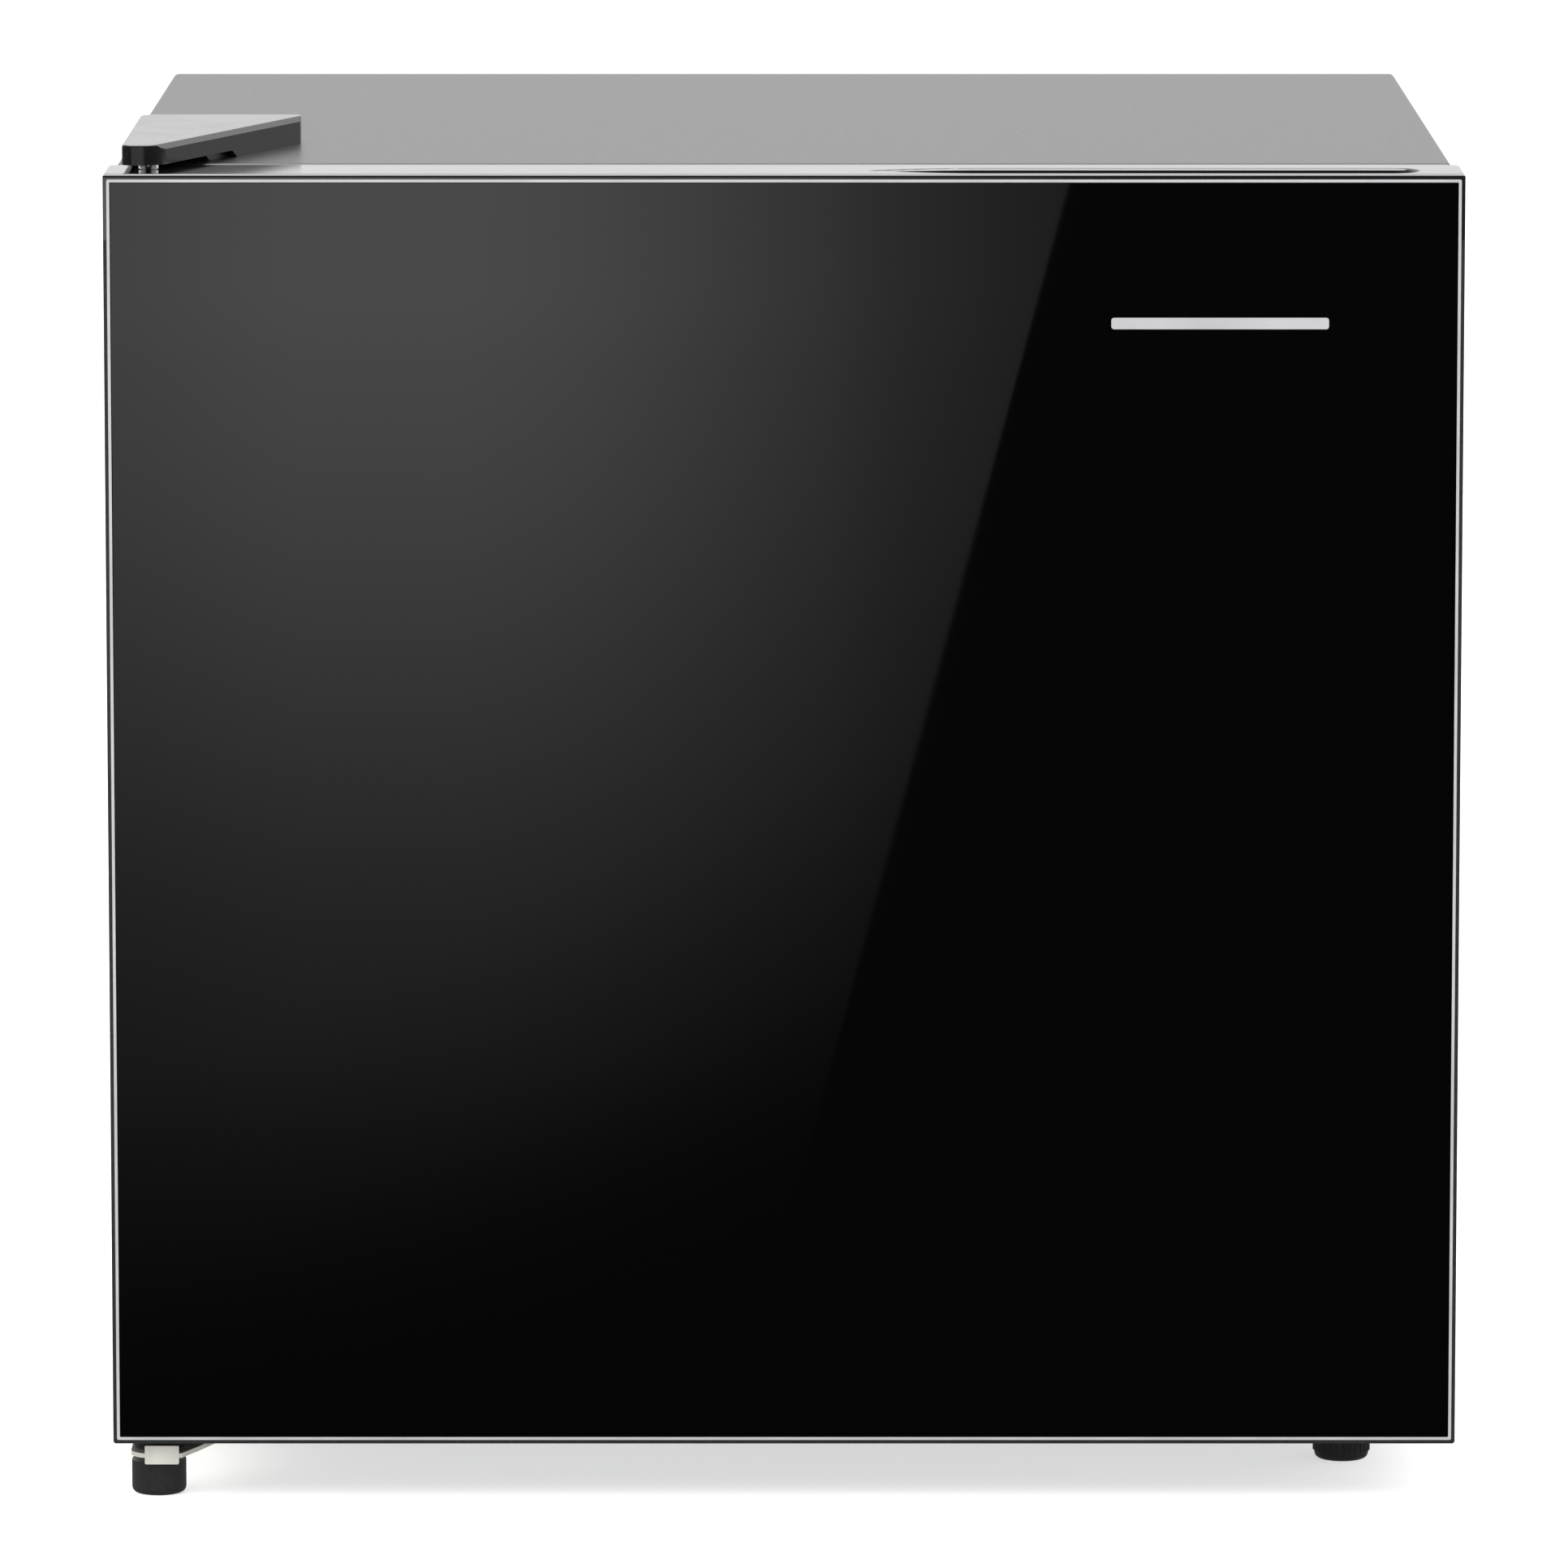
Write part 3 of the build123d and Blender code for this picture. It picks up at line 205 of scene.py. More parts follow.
def white_plastic():
    white = Paint("white_plastic", (0.66, 0.67, 0.67), 0.32)
    white.rough(white.noise(30.0, 2.0), 0.30, 0.37)
    white.tint(white.noise(9.0, 2.0), 0.98, 1.01)
    return white.bump(white.noise(900.0, 1.0), 0.1, 0.00006).material


def clear_plastic():
    clear = Paint("clear_plastic", (0.86, 0.92, 0.95), 0.08)
    clear.set("Transmission Weight", 0.85)
    clear.set("IOR", 1.57)
    clear.rough(clear.noise(60.0, 3.0), 0.06, 0.16)
    return clear.bump(clear.noise(220.0), 0.08, 0.0001).material


def black_plastic():
    """Satin moulded plastic with a fine spark-eroded grain."""
    black = Paint("black_plastic", (0.020, 0.020, 0.021), 0.36)
    black.rough(black.noise(45.0, 3.0), 0.32, 0.44)
    black.tint(black.noise(1300.0), 0.8, 1.3)
    return black.bump(black.noise(1500.0, 2.0), 0.3, 0.0001).material


def cover_plastic():
    """Smoother satin plastic of the hinge cover."""
    black = Paint("cover_plastic", (0.008, 0.008, 0.0085), 0.17)
    black.rough(black.noise(60.0, 2.0), 0.16, 0.18)
    black.tint(black.noise(1300.0), 0.8, 1.3)
    return black.bump(black.noise(1500.0, 1.0), 0.2, 0.00005).material


def gloss_black_plastic():
    gloss = Paint("gloss_black_plastic", (0.010, 0.010, 0.011), 0.09)
    gloss.set("IOR", 1.75)
    gloss.rough(gloss.noise(25.0, 3.0), 0.07, 0.12)
    return gloss.bump(gloss.noise(60.0, 1.0), 0.03, 0.0002).material


def black_glass():
    """Clear glass over a black coat: black, with a clean reflection."""
    glass = Paint("black_glass", (0.0012, 0.0012, 0.0013), 0.02)
    glass.set("IOR", 1.5)
    glass.rough(glass.noise(6.0, 2.0), 0.012, 0.028)
    return glass.bump(glass.noise(2.5, 1.0), 0.01, 0.0003).material


def bright_strip():
    strip = Paint("bright_strip", (0.46, 0.46, 0.47), 0.35, 0.1)
    grain = strip.noise(300.0, 3.0)
    strip.rough(grain, 0.3, 0.42)
    strip.tint(strip.noise(40.0, 3.0), 0.92, 1.08)
    return strip.bump(grain, 0.1, 0.00005).material


def grey_rubber():
    seal = Paint("grey_rubber", (0.060, 0.060, 0.063), 0.55)
    seal.rough(seal.noise(70.0, 3.0), 0.48, 0.62)
    seal.tint(seal.noise(35.0, 3.0), 0.85, 1.15)
    return seal.bump(seal.noise(600.0), 0.15, 0.0001).material


def black_rubber():
    rubber = Paint("black_rubber", (0.021, 0.019, 0.016), 0.6)
    rubber.rough(rubber.noise(80.0, 4.0), 0.55, 0.72)
    rubber.tint(rubber.noise(700.0, 3.0), 0.75, 1.3)
    return rubber.bump(rubber.noise(900.0), 0.3, 0.00012).material


def magnet():
    strip = Paint("magnet", (0.07, 0.055, 0.05), 0.7)
    strip.tint(strip.noise(300.0), 0.8, 1.2)
    return strip.bump(strip.noise(900.0), 0.2, 0.0001).material


def aluminium():
    """Roll-bonded sheet: dull bright metal with fine rolling lines and a few clouds."""
    sheet = Paint("aluminium", (0.74, 0.75, 0.76), 0.32, 1.0)
    lines = sheet.noise(60.0, 4.0, sheet.stretched((1.0, 30.0, 30.0)))
    sheet.rough(lines, 0.24, 0.42)
    sheet.tint(sheet.noise(18.0, 4.0), 0.86, 1.05)
    return sheet.bump(lines, 0.12, 0.0001).material


def compressor_paint():
    enamel = Paint("compressor_paint", (0.014, 0.014, 0.015), 0.24)
    enamel.rough(enamel.noise(28.0, 4.0), 0.18, 0.36)
    enamel.tint(enamel.noise(40.0, 4.0), 0.8, 1.5)
    return enamel.bump(enamel.noise(140.0, 1.0), 0.15, 0.0002).material


def copper():
    tube = Paint("copper", (0.66, 0.30, 0.18), 0.28, 1.0)
    tube.rough(tube.noise(90.0, 4.0), 0.22, 0.46)
    tube.tint(tube.noise(55.0, 5.0), 0.55, 1.15)
    return tube.bump(tube.noise(500.0), 0.1, 0.0001).material


def black_wire():
    wire = Paint("black_wire", (0.017, 0.017, 0.018), 0.38)
    wire.rough(wire.noise(120.0, 3.0), 0.32, 0.5)
    wire.tint(wire.noise(200.0, 3.0), 0.8, 1.4)
    return wire.bump(wire.noise(700.0), 0.2, 0.0001).material


def white_wire():
    wire = Paint("white_wire", (0.66, 0.67, 0.67), 0.28)
    wire.rough(wire.noise(110.0, 3.0), 0.24, 0.36)
    wire.tint(wire.noise(40.0, 2.0), 0.95, 1.02)
    return wire.bump(wire.noise(350.0), 0.15, 0.00015).material


def dial_ink():
    """Grey ink of the dial's numbers."""
    ink = Paint("dial_ink", (0.06, 0.065, 0.07), 0.5)
    ink.tint(ink.noise(900.0), 0.85, 1.2)
    return ink.bump(ink.noise(2500.0), 0.1, 0.00003).material


FINISHES = [
    painted_steel, galvanised_steel, zinc_plate, chromed_steel, foam, white_plastic, clear_plastic,
    black_plastic, gloss_black_plastic, black_glass, bright_strip, grey_rubber, black_rubber, magnet,
    aluminium, compressor_paint, copper, black_wire, white_wire,
]
MATERIALS = {make.__name__: make() for make in FINISHES}
COVER = cover_plastic()
INK = dial_ink()


def finish_cad_nodes():
    """Every CAD node gets the material of its slot, and the hinge cover its own smoother plastic."""
    for part in frame["record"]["subparts"]:
        piece = nodes_by_name[part["node"]]
        piece.data.materials.clear()
        piece.data.materials.append(MATERIALS[part["material_slot"]])
    cover = nodes_by_name["hinge_cover"].data.materials
    cover.clear()
    cover.append(COVER)


def round_edges(node, width, segments=2, angle=40.0):
    """Small rounding on a CAD node's sharp edges, which catches the light as a real edge does."""
    bevel = nodes_by_name[node].modifiers.new("edge", "BEVEL")
    bevel.width = width
    bevel.segments = segments
    bevel.limit_method = "ANGLE"
    bevel.angle_limit = math.radians(angle)
    bevel.harden_normals = True


# ---- mesh helpers -------------------------------------------------------------------------------
def mesh_piece(name, body, slot, build, smooth=True, material=None):
    """A new piece made by a bmesh function, riding on a body."""
    mesh = bpy.data.meshes.new(name)
    shape = bmesh.new()
    build(shape)
    bmesh.ops.recalc_face_normals(shape, faces=shape.faces)
    shape.to_mesh(mesh)
    shape.free()
    for face in mesh.polygons:
        face.use_smooth = smooth
    piece = bpy.data.objects.new(name, mesh)
    bpy.context.scene.collection.objects.link(piece)
    mesh.materials.append(material or MATERIALS[slot])
    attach(piece, body)
    return piece


def ring_faces(shape, loops, closed=True):
    """Quads between loops of vertices; the last loop joins the first if closed."""
    pairs = list(zip(loops, loops[1:]))
    if closed:
        pairs.append((loops[-1], loops[0]))
    for one, two in pairs:
        count = len(one)
        for i in range(count):
            j = (i + 1) % count
            shape.faces.new((one[i], one[j], two[j], two[i]))


def tube_along(shape, points, radius, sides=12):
    """Closed round tube along a list of points."""
    loops = []
    for i, point in enumerate(points):
        before = points[max(i - 1, 0)]
        after = points[min(i + 1, len(points) - 1)]
        direction = (after - before).normalized()
        turn = direction.to_track_quat("Z", "Y")
        ring = []
        for k in range(sides):
            angle = 2 * math.pi * k / sides
            offset = turn @ Vector((math.cos(angle) * radius, math.sin(angle) * radius, 0))
            ring.append(shape.verts.new(point + offset))
        loops.append(ring)
    ring_faces(shape, loops, closed=False)
    shape.faces.new(reversed(loops[0]))
    shape.faces.new(loops[-1])


def lathe(shape, profile, centre, axis, sides=48):
    """Solid of revolution from (radius, height) pairs; the first and last points lie on the axis."""
    turn = Vector(axis).to_track_quat("Z", "Y")
    loops = []
    for radius, height in profile[1:-1]:
        ring = []
        for k in range(sides):
            angle = 2 * math.pi * k / sides
            local = Vector((math.cos(angle) * radius, math.sin(angle) * radius, height))
            ring.append(shape.verts.new(centre + turn @ local))
        loops.append(ring)
    ring_faces(shape, loops, closed=False)
    for (_, height), loop in ((profile[0], loops[0]), (profile[-1], loops[-1])):
        tip = shape.verts.new(centre + turn @ Vector((0, 0, height)))
        for i in range(sides):
            shape.faces.new((tip, loop[i], loop[(i + 1) % sides]))


# ---- door seal ----------------------------------------------------------------------------------
SEAL_PROFILE = [      # (outward from the seal's middle, back from the liner), in millimetres
    (-9.8, 0.1), (-9.8, 1.0), (-7.4, 1.5), (-5.6, 2.1), (-7.9, 3.0), (-6.0, 3.9), (-8.3, 4.8), (-8.8, 5.8),
    (-8.8, 7.6), (-8.0, 8.1), (8.0, 8.1), (8.8, 7.6), (8.8, 5.8), (8.3, 4.9), (6.2, 4.2), (8.6, 3.2),
    (9.8, 2.0), (9.9, 0.1),
]


def door_seal():
    """Magnetic seal as it is moulded: a flat magnet bulb on a folded bellows, mitred at the corners."""
    middle_x = (gasket_low.x + gasket_high.x) / 2
    middle_z = (gasket_low.z + gasket_high.z) / 2
    half_width = 10.0 * MM
    reach_x = (gasket_high.x - gasket_low.x) / 2 - half_width
    reach_z = (gasket_high.z - gasket_low.z) / 2 - half_width

    def build(shape):
        loops = []
        for sx, sz in ((-1, -1), (1, -1), (1, 1), (-1, 1)):
            loop = []
            for out, back in SEAL_PROFILE:
                x = middle_x + sx * (reach_x + out * MM)
                z = middle_z + sz * (reach_z + out * MM)
                loop.append(shape.verts.new((x, gasket_low.y + back * MM, z)))
            loops.append(loop)
        ring_faces(shape, loops)

    seal = mesh_piece("seal_bellows", "door", "grey_rubber", build, smooth=False)
    bevel = seal.modifiers.new("fold", "BEVEL")
    bevel.width = 0.3 * MM
    bevel.segments = 2
    bevel.angle_limit = math.radians(25)
    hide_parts("door_gasket")


# ---- chiller ------------------------------------------------------------------------------------
def chiller_channels():
    """Raised refrigerant channels pressed in the evaporator sheet, on its right side."""
    radius = 2.6 * MM
    sink = 0.9 * MM
    rows = 4
    margin_front, margin_back, margin_z = 28 * MM, 32 * MM, 16 * MM

    def serpentine(start, along, across, length, width):
        points = []
        bend_steps = 6
        step = width / (rows - 1)
        for row in range(rows):
            ends = (0.0, length) if row % 2 == 0 else (length, 0.0)
            base = start + across * (step * row)
            for t in (0.0, 0.5, 1.0):
                points.append(base + along * (ends[0] + (ends[1] - ends[0]) * t))
            if row < rows - 1:
                side = 1 if row % 2 == 0 else -1
                for k in range(1, bend_steps):
                    angle = math.pi * k / bend_steps
                    out = along * (side * math.sin(angle) * step / 2)
                    up = across * (step / 2 * (1 - math.cos(angle)))
                    points.append(base + along * ends[1] + out + up)
        return points

    def build(shape):
        x = chiller_high.x + sink - radius / 2
        start = Vector((x, chiller_low.y + margin_front, chiller_low.z + margin_z))
        length = chiller_high.y - chiller_low.y - margin_front - margin_back
        width = chiller_high.z - chiller_low.z - 2 * margin_z
        route = serpentine(start, Vector((0, 1, 0)), Vector((0, 0, 1)), length, width)
        tube_along(shape, route, radius)

    mesh_piece("chiller_channels", "cabinet", "aluminium", build)


# ---- thermostat dial ----------------------------------------------------------------------------
def printed(name, words, size, matrix, body):
    """Printed figures as a thin mesh."""
    curve = bpy.data.curves.new(name, "FONT")
    curve.body = words
    curve.size = size
    curve.align_x = "CENTER"
    curve.align_y = "CENTER"
    curve.extrude = 0.05 * MM
    holder = bpy.data.objects.new(name + "_curve", curve)
    bpy.context.scene.collection.objects.link(holder)
    bpy.context.view_layer.update()
    mesh = bpy.data.meshes.new_from_object(holder.evaluated_get(bpy.context.evaluated_depsgraph_get()))
    bpy.data.objects.remove(holder)
    mesh.transform(matrix)
    piece = bpy.data.objects.new(name, mesh)
    bpy.context.scene.collection.objects.link(piece)
    mesh.materials.clear()
    mesh.materials.append(INK)
    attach(piece, body)
    return piece


def thermostat_dial():
    """Numbers round the knob's face and a mark on the housing above it."""
    centre_x = (knob_low.x + knob_high.x) / 2
    centre_z = (knob_low.z + knob_high.z) / 2
    face_y = knob_high.y - 4.02 * MM
    radius = 12.2 * MM
    upright = Matrix.Rotation(math.radians(90), 4, "X")
    steps = 8
    half_turn = 150
    for number in range(steps):
        angle = math.radians(half_turn * (2 * number / (steps - 1) - 1))
        spot = Vector((centre_x + math.sin(angle) * radius, face_y, centre_z + math.cos(angle) * radius))
        place = Matrix.Translation(spot) @ Matrix.Rotation(angle, 4, "Y") @ upright
        printed(f"dial_number_{number}", str(number), 4.2 * MM, place, "knob")

    def mark(shape):
        top = housing_low.z + 37.5 * MM
        y0, y1 = housing_low.y - 0.15 * MM, housing_low.y + 0.3 * MM
        outline = [(centre_x - 1.1 * MM, top), (centre_x + 1.1 * MM, top), (centre_x, top - 1.6 * MM)]
        front = [shape.verts.new((x, y0, z)) for x, z in outline]
        back = [shape.verts.new((x, y1, z)) for x, z in outline]
        shape.faces.new(front)
        shape.faces.new(reversed(back))
        for i in range(3):
            j = (i + 1) % 3
            shape.faces.new((front[i], back[i], back[j], front[j]))

    mesh_piece("dial_mark", "cabinet", "black_plastic", mark, smooth=False, material=INK)


# ---- screws -------------------------------------------------------------------------------------
def cross_recess_cutter(centre, axis, size, depth):
    """Four-armed cutter for a screw head."""
    turn = Vector(axis).to_track_quat("Z", "Y")
    mesh = bpy.data.meshes.new("cutter")
    shape = bmesh.new()
    for quarter in (0, 1):
        half_long, half_short = (size, size * 0.24) if quarter == 0 else (size * 0.24, size)
        corners = []
        for z, shrink in ((-depth, 0.35), (depth, 1.15)):
            for x, y in ((-1, -1), (1, -1), (1, 1), (-1, 1)):
                local = Vector((x * half_long * shrink, y * half_short * max(shrink, 0.8), z))
                corners.append(shape.verts.new(centre + turn @ local))
        shape.faces.new(reversed(corners[:4]))
        shape.faces.new(corners[4:])
        for i in range(4):
            j = (i + 1) % 4
            shape.faces.new((corners[i], corners[j], corners[4 + j], corners[4 + i]))
    shape.to_mesh(mesh)
    shape.free()
    cutter = bpy.data.objects.new("cutter", mesh)
    bpy.context.scene.collection.objects.link(cutter)
    return cutter


def islands(node):
    """Lowest and highest corner of each separate solid in a CAD node."""
    shape = bmesh.new()
    shape.from_mesh(nodes_by_name[node].data)
    bmesh.ops.remove_doubles(shape, verts=shape.verts, dist=1e-6)
    left = set(shape.verts)
    boxes = []
    while left:
        stack = [left.pop()]
        found = []
        while stack:
            vert = stack.pop()
            found.append(vert.co.copy())
            for edge in vert.link_edges:
                other = edge.other_vert(vert)
                if other in left:
                    left.remove(other)
                    stack.append(other)
        low = Vector([min(p[i] for p in found) for i in range(3)])
        high = Vector([max(p[i] for p in found) for i in range(3)])
        boxes.append((low, high))
    shape.free()
    return sorted(boxes, key=lambda pair: tuple(round(c, 5) for c in pair[0]))


def panel_screw_heads():
    """Pan-head screws with a cross recess round the rear panel."""
    shank, length, chamfer = 1.5 * MM, 6 * MM, 0.25 * MM
    for number, (low, high) in enumerate(islands("panel_screws")):
        centre = Vector(((low.x + high.x) / 2, panel_high.y, (low.z + high.z) / 2))
        radius = (high.x - low.x) / 2
        rise = high.y - panel_high.y

        def build(shape, centre=centre, radius=radius, rise=rise):
            profile = [(0, -length), (shank, -length), (shank, -0.05 * MM)]
            profile += [(radius * 0.97, 0.0), (radius, chamfer)]
            for k in range(1, 7):
                angle = math.radians(90 * k / 6)
                out = radius * (0.45 + 0.55 * math.cos(angle))
                profile.append((out, rise * (0.2 + 0.8 * math.sin(angle))))
            profile.append((0, rise))
            lathe(shape, profile, centre, (0, 1, 0), 32)

        head = mesh_piece(f"panel_screw_{number}", "cabinet", "zinc_plate", build)
        cutter = cross_recess_cutter(centre + Vector((0, rise, 0)), (0, 1, 0), radius * 0.55, 1.0 * MM)
        cut = head.modifiers.new("recess", "BOOLEAN")
        cut.object = cutter
        cut.operation = "DIFFERENCE"
        cut.solver = "EXACT"
        cut.use_self = True
        bpy.context.view_layer.update()
        mesh = bpy.data.meshes.new_from_object(head.evaluated_get(bpy.context.evaluated_depsgraph_get()))
        head.modifiers.clear()
        head.data = mesh
        bpy.data.objects.remove(cutter)
        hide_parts("panel_screws")


# ---- compressor ---------------------------------------------------------------------------------
def compressor_details():
    """Weld bead between the two shells, and the crimped process tube."""
    upper_low, upper_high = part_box("compressor_upper_shell")
    centre = (upper_low + upper_high) / 2
    shell_radius = (upper_high.x - upper_low.x) / 2

    def bead(shape):
        loops = []
        steps, sides = 96, 10
        half_width, half_height = 1.7 * MM, 1.4 * MM
        for i in range(steps):
            angle = 2 * math.pi * i / steps
            wobble = 0.12 * MM * math.sin(i * 2.7) + 0.08 * MM * math.sin(i * 5.3)
            loop = []
            for k in range(sides):
                turn = 2 * math.pi * k / sides
                r = shell_radius - 0.9 * MM + (half_width + wobble) * math.cos(turn)
                z = upper_low.z + 0.3 * MM + (half_height + wobble) * math.sin(turn)
                spot = (centre.x + r * math.cos(angle), centre.y + r * math.sin(angle), z)
                loop.append(shape.verts.new(spot))
            loops.append(loop)
        ring_faces(shape, loops)

    mesh_piece("compressor_weld_bead", "cabinet", "compressor_paint", bead)

    def stub(shape):
        start = Vector((centre.x + 20 * MM, centre.y + shell_radius - 4 * MM, upper_low.z + 22 * MM))
        straight, slope = 10, 0.6
        points = []
        for reach in (0, 5, 10, 13, 16):
            points.append(start + Vector((0, reach * MM, max(reach - straight, 0) * slope * MM)))
        tube_along(shape, points, 2.6 * MM, 16)
        onward = Vector((0, 2.5 * MM, 2.5 * slope * MM))
        crimp = [points[-1] + onward * step for step in range(3)]
        tube_along(shape, crimp, 1.9 * MM, 16)

    mesh_piece("process_tube", "cabinet", "copper", stub)


# ---- levelling foot -----------------------------------------------------------------------------
def stud_thread():
    """Threaded stud of the ribbed foot."""
    low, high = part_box("right_foot_stud")
    centre = (low + high) / 2
    outer = (high.x - low.x) / 2
    pitch, sides = 1.0 * MM, 40
    depth = 0.5 * MM

    def build(shape):
        turns = (high.z - low.z) / pitch
        rows_per_turn = 4
        rows = int(turns * rows_per_turn)
        loops = []
        for row in range(rows + 1):
            loop = []
            z = low.z + (high.z - low.z) * row / rows
            for k in range(sides):
                angle = 2 * math.pi * k / sides
                phase = (row / rows_per_turn - k / sides) % 1.0
                r = outer - depth * abs(2 * phase - 1)
                spot = (centre.x + r * math.cos(angle), centre.y + r * math.sin(angle), z)
                loop.append(shape.verts.new(spot))
            loops.append(loop)
        ring_faces(shape, loops, closed=False)
        shape.faces.new(reversed(loops[0]))
        shape.faces.new(loops[-1])

    stud = mesh_piece("stud_thread", "right_leveller", "zinc_plate", build)
    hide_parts("right_foot_stud")


# ---- studio -------------------------------------------------------------------------------------
EYE = Vector((0.0, -4.136, 0.829))
TILT = 8.341                     # degrees below level
LENS = 260.1                     # on a 36 mm wide sensor


def camera():
    """Long lens in line with the middle of the door, a little above the top, looking down by the tilt."""
    data = bpy.data.cameras.new("camera")
    data.sensor_width = 36.0
    data.lens = LENS
    data.clip_end = 100.0
    eye = bpy.data.objects.new("camera", data)
    eye.location = EYE
    eye.rotation_euler = (math.radians(90 - TILT), 0, 0)
    bpy.context.scene.collection.objects.link(eye)
    bpy.context.scene.camera = eye


def floor():
    """Pale floor just under the feet. It glows a little, so that it is as white as the surroundings."""
    size = 40.0
    mesh = bpy.data.meshes.new("floor")
    corners = [(-size, -size, 0), (size, -size, 0), (size, size, 0), (-size, size, 0)]
    mesh.from_pydata(corners, [], [(0, 1, 2, 3)])
    plane = bpy.data.objects.new("floor", mesh)
    plane.location.z = cad_low.z - 0.05 * MM
    bpy.context.scene.collection.objects.link(plane)
    pale = Paint("pale_floor", (0.93, 0.93, 0.93), 0.9)
    pale.set("Specular IOR Level", 0.0)
    pale.set("Emission Color", (1.0, 1.0, 1.0, 1.0))
    pale.set("Emission Strength", 0.6)
    plane.data.materials.append(pale.material)
    plane.visible_glossy = False


def maths(tree, operation, one, two):
    """Two values combined; the second may be a plain number."""
    node = tree.nodes.new("ShaderNodeMath")
    node.operation = operation
    tree.links.new(one, node.inputs[0])
    if isinstance(two, float):
        node.inputs[1].default_value = two
    else:
        tree.links.new(two, node.inputs[1])
    return node.outputs[0]


def spread(tree, value, start, end, low=0.0, high=1.0, kind="LINEAR"):
    """A value between start and end, spread from low to high."""
    node = tree.nodes.new("ShaderNodeMapRange")
    node.interpolation_type = kind
    node.inputs["From Min"].default_value = start
    node.inputs["From Max"].default_value = end
    node.inputs["To Min"].default_value = low
    node.inputs["To Max"].default_value = high
    tree.links.new(value, node.inputs["Value"])
    return node.outputs["Result"]


def world():
    """White surroundings. What shines sees them bright behind and overhead, and dark in front and below."""
    sky = bpy.data.worlds.new("studio")
    bpy.context.scene.world = sky
    sky.use_nodes = True
    tree = sky.node_tree
    tree.nodes.clear()
    new = tree.nodes.new

    def smooth(value, start, end, low, high):
        return spread(tree, value, start, end, low, high, "SMOOTHSTEP")

    direction = new("ShaderNodeTexCoord").outputs["Generated"]
    split = new("ShaderNodeSeparateXYZ")
    tree.links.new(direction, split.inputs[0])
    x, y, z = split.outputs
    above_floor = smooth(z, -0.10, 0.06, 0.12, 1.0)
    behind = maths(tree, "MULTIPLY", smooth(y, -0.05, 0.45, 0.0, 1.45), above_floor)
    overhead = smooth(z, 0.80, 0.88, 0.0, 9.0)
    off_middle = maths(tree, "ABSOLUTE", x, 0.0)
    sides = maths(tree, "MULTIPLY", smooth(off_middle, 0.35, 0.95, 0.0, 0.42), above_floor)
    shine = maths(tree, "MAXIMUM", maths(tree, "MAXIMUM", behind, overhead), sides)
    glossy = new("ShaderNodeLightPath").outputs["Is Glossy Ray"]
    plain = new("ShaderNodeBackground")
    plain.inputs["Strength"].default_value = 1.0
    plain.inputs["Color"].default_value = (1.0, 1.0, 1.0, 1.0)
    shown = new("ShaderNodeBackground")
    tree.links.new(shine, shown.inputs["Strength"])
    mix = new("ShaderNodeMixShader")
    tree.links.new(glossy, mix.inputs[0])
    tree.links.new(plain.outputs[0], mix.inputs[1])
    tree.links.new(shown.outputs[0], mix.inputs[2])
    out = new("ShaderNodeOutputWorld")
    tree.links.new(mix.outputs[0], out.inputs["Surface"])


def reflected(x, z, distance):
    """Where the eye sees a card in the door glass: the point on the card behind the glass point (x, z)."""
    ratio = distance / (DOOR_FRONT - EYE.y)
    return x + (x - EYE.x) * ratio, z + (z - EYE.z) * ratio


CARD_DISTANCE = 1.2              # from the door to the card in front of it
CARD_REACH = 0.12                # how far the card goes past the door at the left and the bottom
SHEEN_TOP = (0.0995, DOOR_TOP)   # (x, z) of two points on the door that the glow's slanted edge runs through
SHEEN_LOW = (0.0096, 0.13)
SHEEN_LEVEL = 1.75
SHEEN_LEAN = 0.34                # how far the fade towards the lower right leans


def sheen_card():
    """Glowing card in front of the door, seen only as its reflection with the slanted edge in the glass."""
    half_width = cad_high.x
    slope = (SHEEN_TOP[0] - SHEEN_LOW[0]) / (SHEEN_TOP[1] - SHEEN_LOW[1])
    low_z = glass_low.z - CARD_REACH
    high_z = DOOR_TOP + 0.004
    corners = [
        (-half_width - CARD_REACH, low_z), (SHEEN_LOW[0] + slope * (low_z - SHEEN_LOW[1]), low_z),
        (SHEEN_TOP[0] + slope * (high_z - SHEEN_TOP[1]), high_z), (-half_width - CARD_REACH, high_z),
    ]
    points = [reflected(x, z, CARD_DISTANCE) for x, z in corners]
    mesh = bpy.data.meshes.new("sheen_card")
    y = DOOR_FRONT - CARD_DISTANCE
    mesh.from_pydata([(x, y, z) for x, z in points], [], [(0, 1, 2, 3)])
    mesh.materials.append(sheen(half_width))
    card = bpy.data.objects.new("sheen_card", mesh)
    bpy.context.scene.collection.objects.link(card)
    card.visible_camera = False
    card.visible_diffuse = False
    card.visible_shadow = False
    card.visible_transmission = False


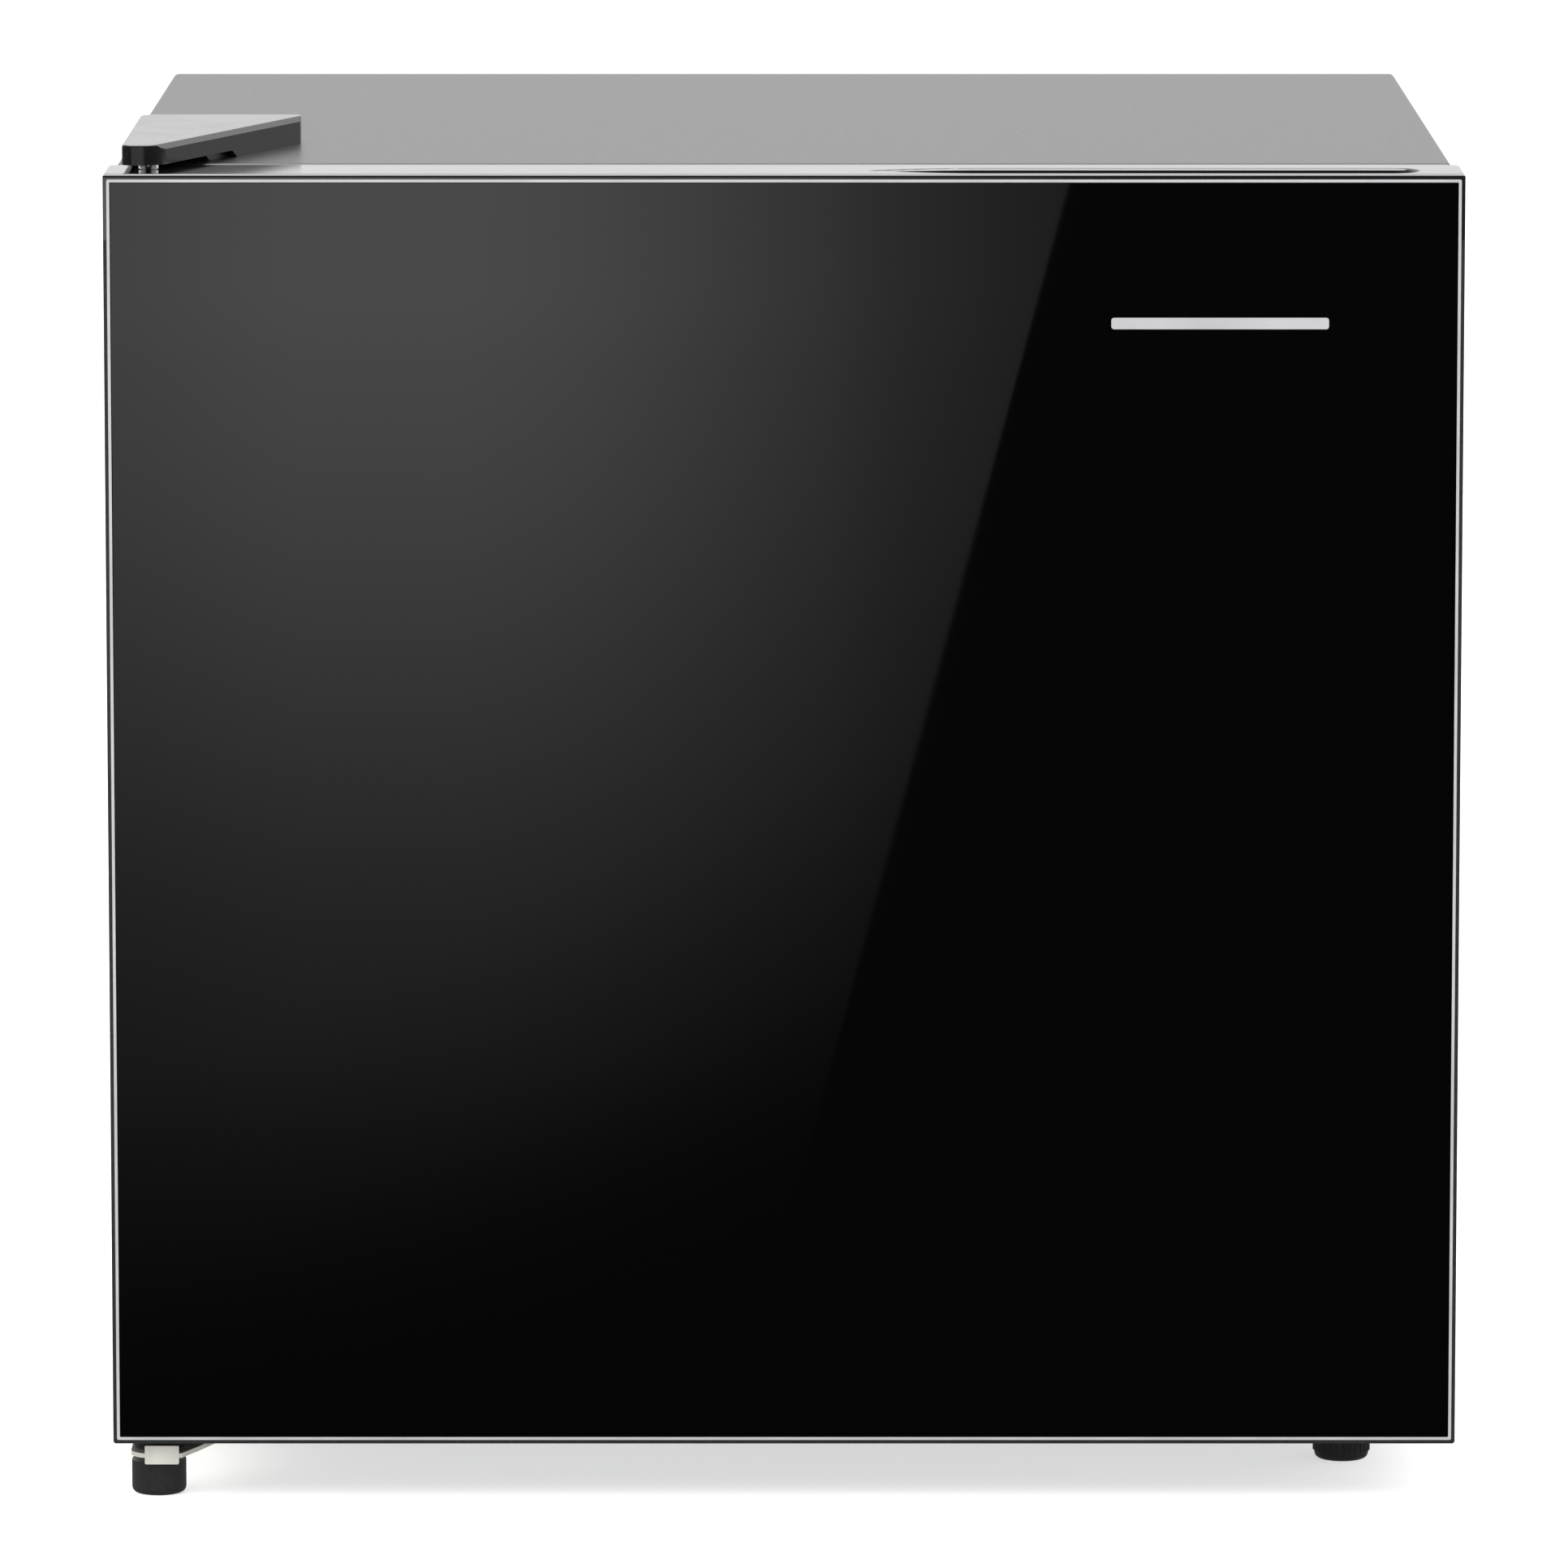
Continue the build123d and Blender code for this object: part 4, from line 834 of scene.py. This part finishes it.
def sheen(half_width):
    """Glow of the card, which fades to the right, downwards and most of all towards the lower right."""
    material = bpy.data.materials.new("sheen")
    material.use_nodes = True
    tree = material.node_tree
    tree.nodes.clear()
    split = tree.nodes.new("ShaderNodeSeparateXYZ")
    tree.links.new(tree.nodes.new("ShaderNodeTexCoord").outputs["Object"], split.inputs[0])

    def fade(value, stops):
        node = tree.nodes.new("ShaderNodeValToRGB")
        node.color_ramp.interpolation = "B_SPLINE"
        while len(node.color_ramp.elements) < len(stops):
            node.color_ramp.elements.new(0.5)
        for element, (position, level) in zip(node.color_ramp.elements, stops):
            element.position = position
            element.color = (level, level, level, 1.0)
        tree.links.new(value, node.inputs[0])
        return node.outputs[0]

    left, bottom = reflected(-half_width, glass_low.z, CARD_DISTANCE)
    right, top = reflected(SHEEN_TOP[0], DOOR_TOP, CARD_DISTANCE)
    across = spread(tree, split.outputs[0], left, right)
    upward = spread(tree, split.outputs[2], bottom, top)
    from_corner = maths(tree, "SUBTRACT", upward, maths(tree, "MULTIPLY", across, SHEEN_LEAN))
    corner = spread(tree, from_corner, -0.12, 0.28)
    stops_across = [(0.0, 0.76), (0.24, 1.1), (0.5, 0.93), (0.75, 0.4), (0.9, 0.22), (1.0, 0.16)]
    stops_upward = [(0.0, 0.0), (0.12, 0.03), (0.3, 0.12), (0.55, 0.345), (0.85, 1.0), (1.0, 1.05)]
    stops_corner = [(0.0, 0.0), (0.2, 0.1), (0.4, 0.32), (0.6, 0.62), (1.0, 1.0)]
    level = maths(tree, "MULTIPLY", fade(across, stops_across), fade(upward, stops_upward))
    level = maths(tree, "MULTIPLY", level, fade(corner, stops_corner))
    level = maths(tree, "MULTIPLY", level, SHEEN_LEVEL)
    glow = tree.nodes.new("ShaderNodeEmission")
    tree.links.new(level, glow.inputs["Strength"])
    out = tree.nodes.new("ShaderNodeOutputMaterial")
    tree.links.new(glow.outputs[0], out.inputs["Surface"])
    return material


def soft_light(name, spot, target, size, energy):
    """Square area light that is aimed at a target and not seen in reflections."""
    data = bpy.data.lights.new(name, "AREA")
    data.shape = "SQUARE"
    data.size = size
    data.energy = energy
    lamp = bpy.data.objects.new(name, data)
    lamp.location = spot
    lamp.rotation_euler = (Vector(target) - Vector(spot)).to_track_quat("-Z", "Y").to_euler()
    lamp.visible_glossy = False
    bpy.context.scene.collection.objects.link(lamp)


def studio():
    bpy.context.scene.view_settings.view_transform = "Standard"
    camera()
    floor()
    world()
    sheen_card()
    middle = (cad_low + cad_high) / 2
    soft_light("key", (-1.6, -2.4, 2.2), middle, 1.8, 26.0)
    soft_light("fill", (2.4, -1.4, 1.5), middle, 1.6, 12.0)


# ---- the object ---------------------------------------------------------------------------------
SHARP_NODES = [
    "hinge_cover", "door_frame", "cabinet_wrap", "lower_hinge_bracket", "chiller_frame", "thermostat_housing",
]

finish_cad_nodes()
for node in SHARP_NODES:
    round_edges(node, 0.25 * MM)
door_seal()
chiller_channels()
thermostat_dial()
panel_screw_heads()
compressor_details()
stud_thread()
studio()
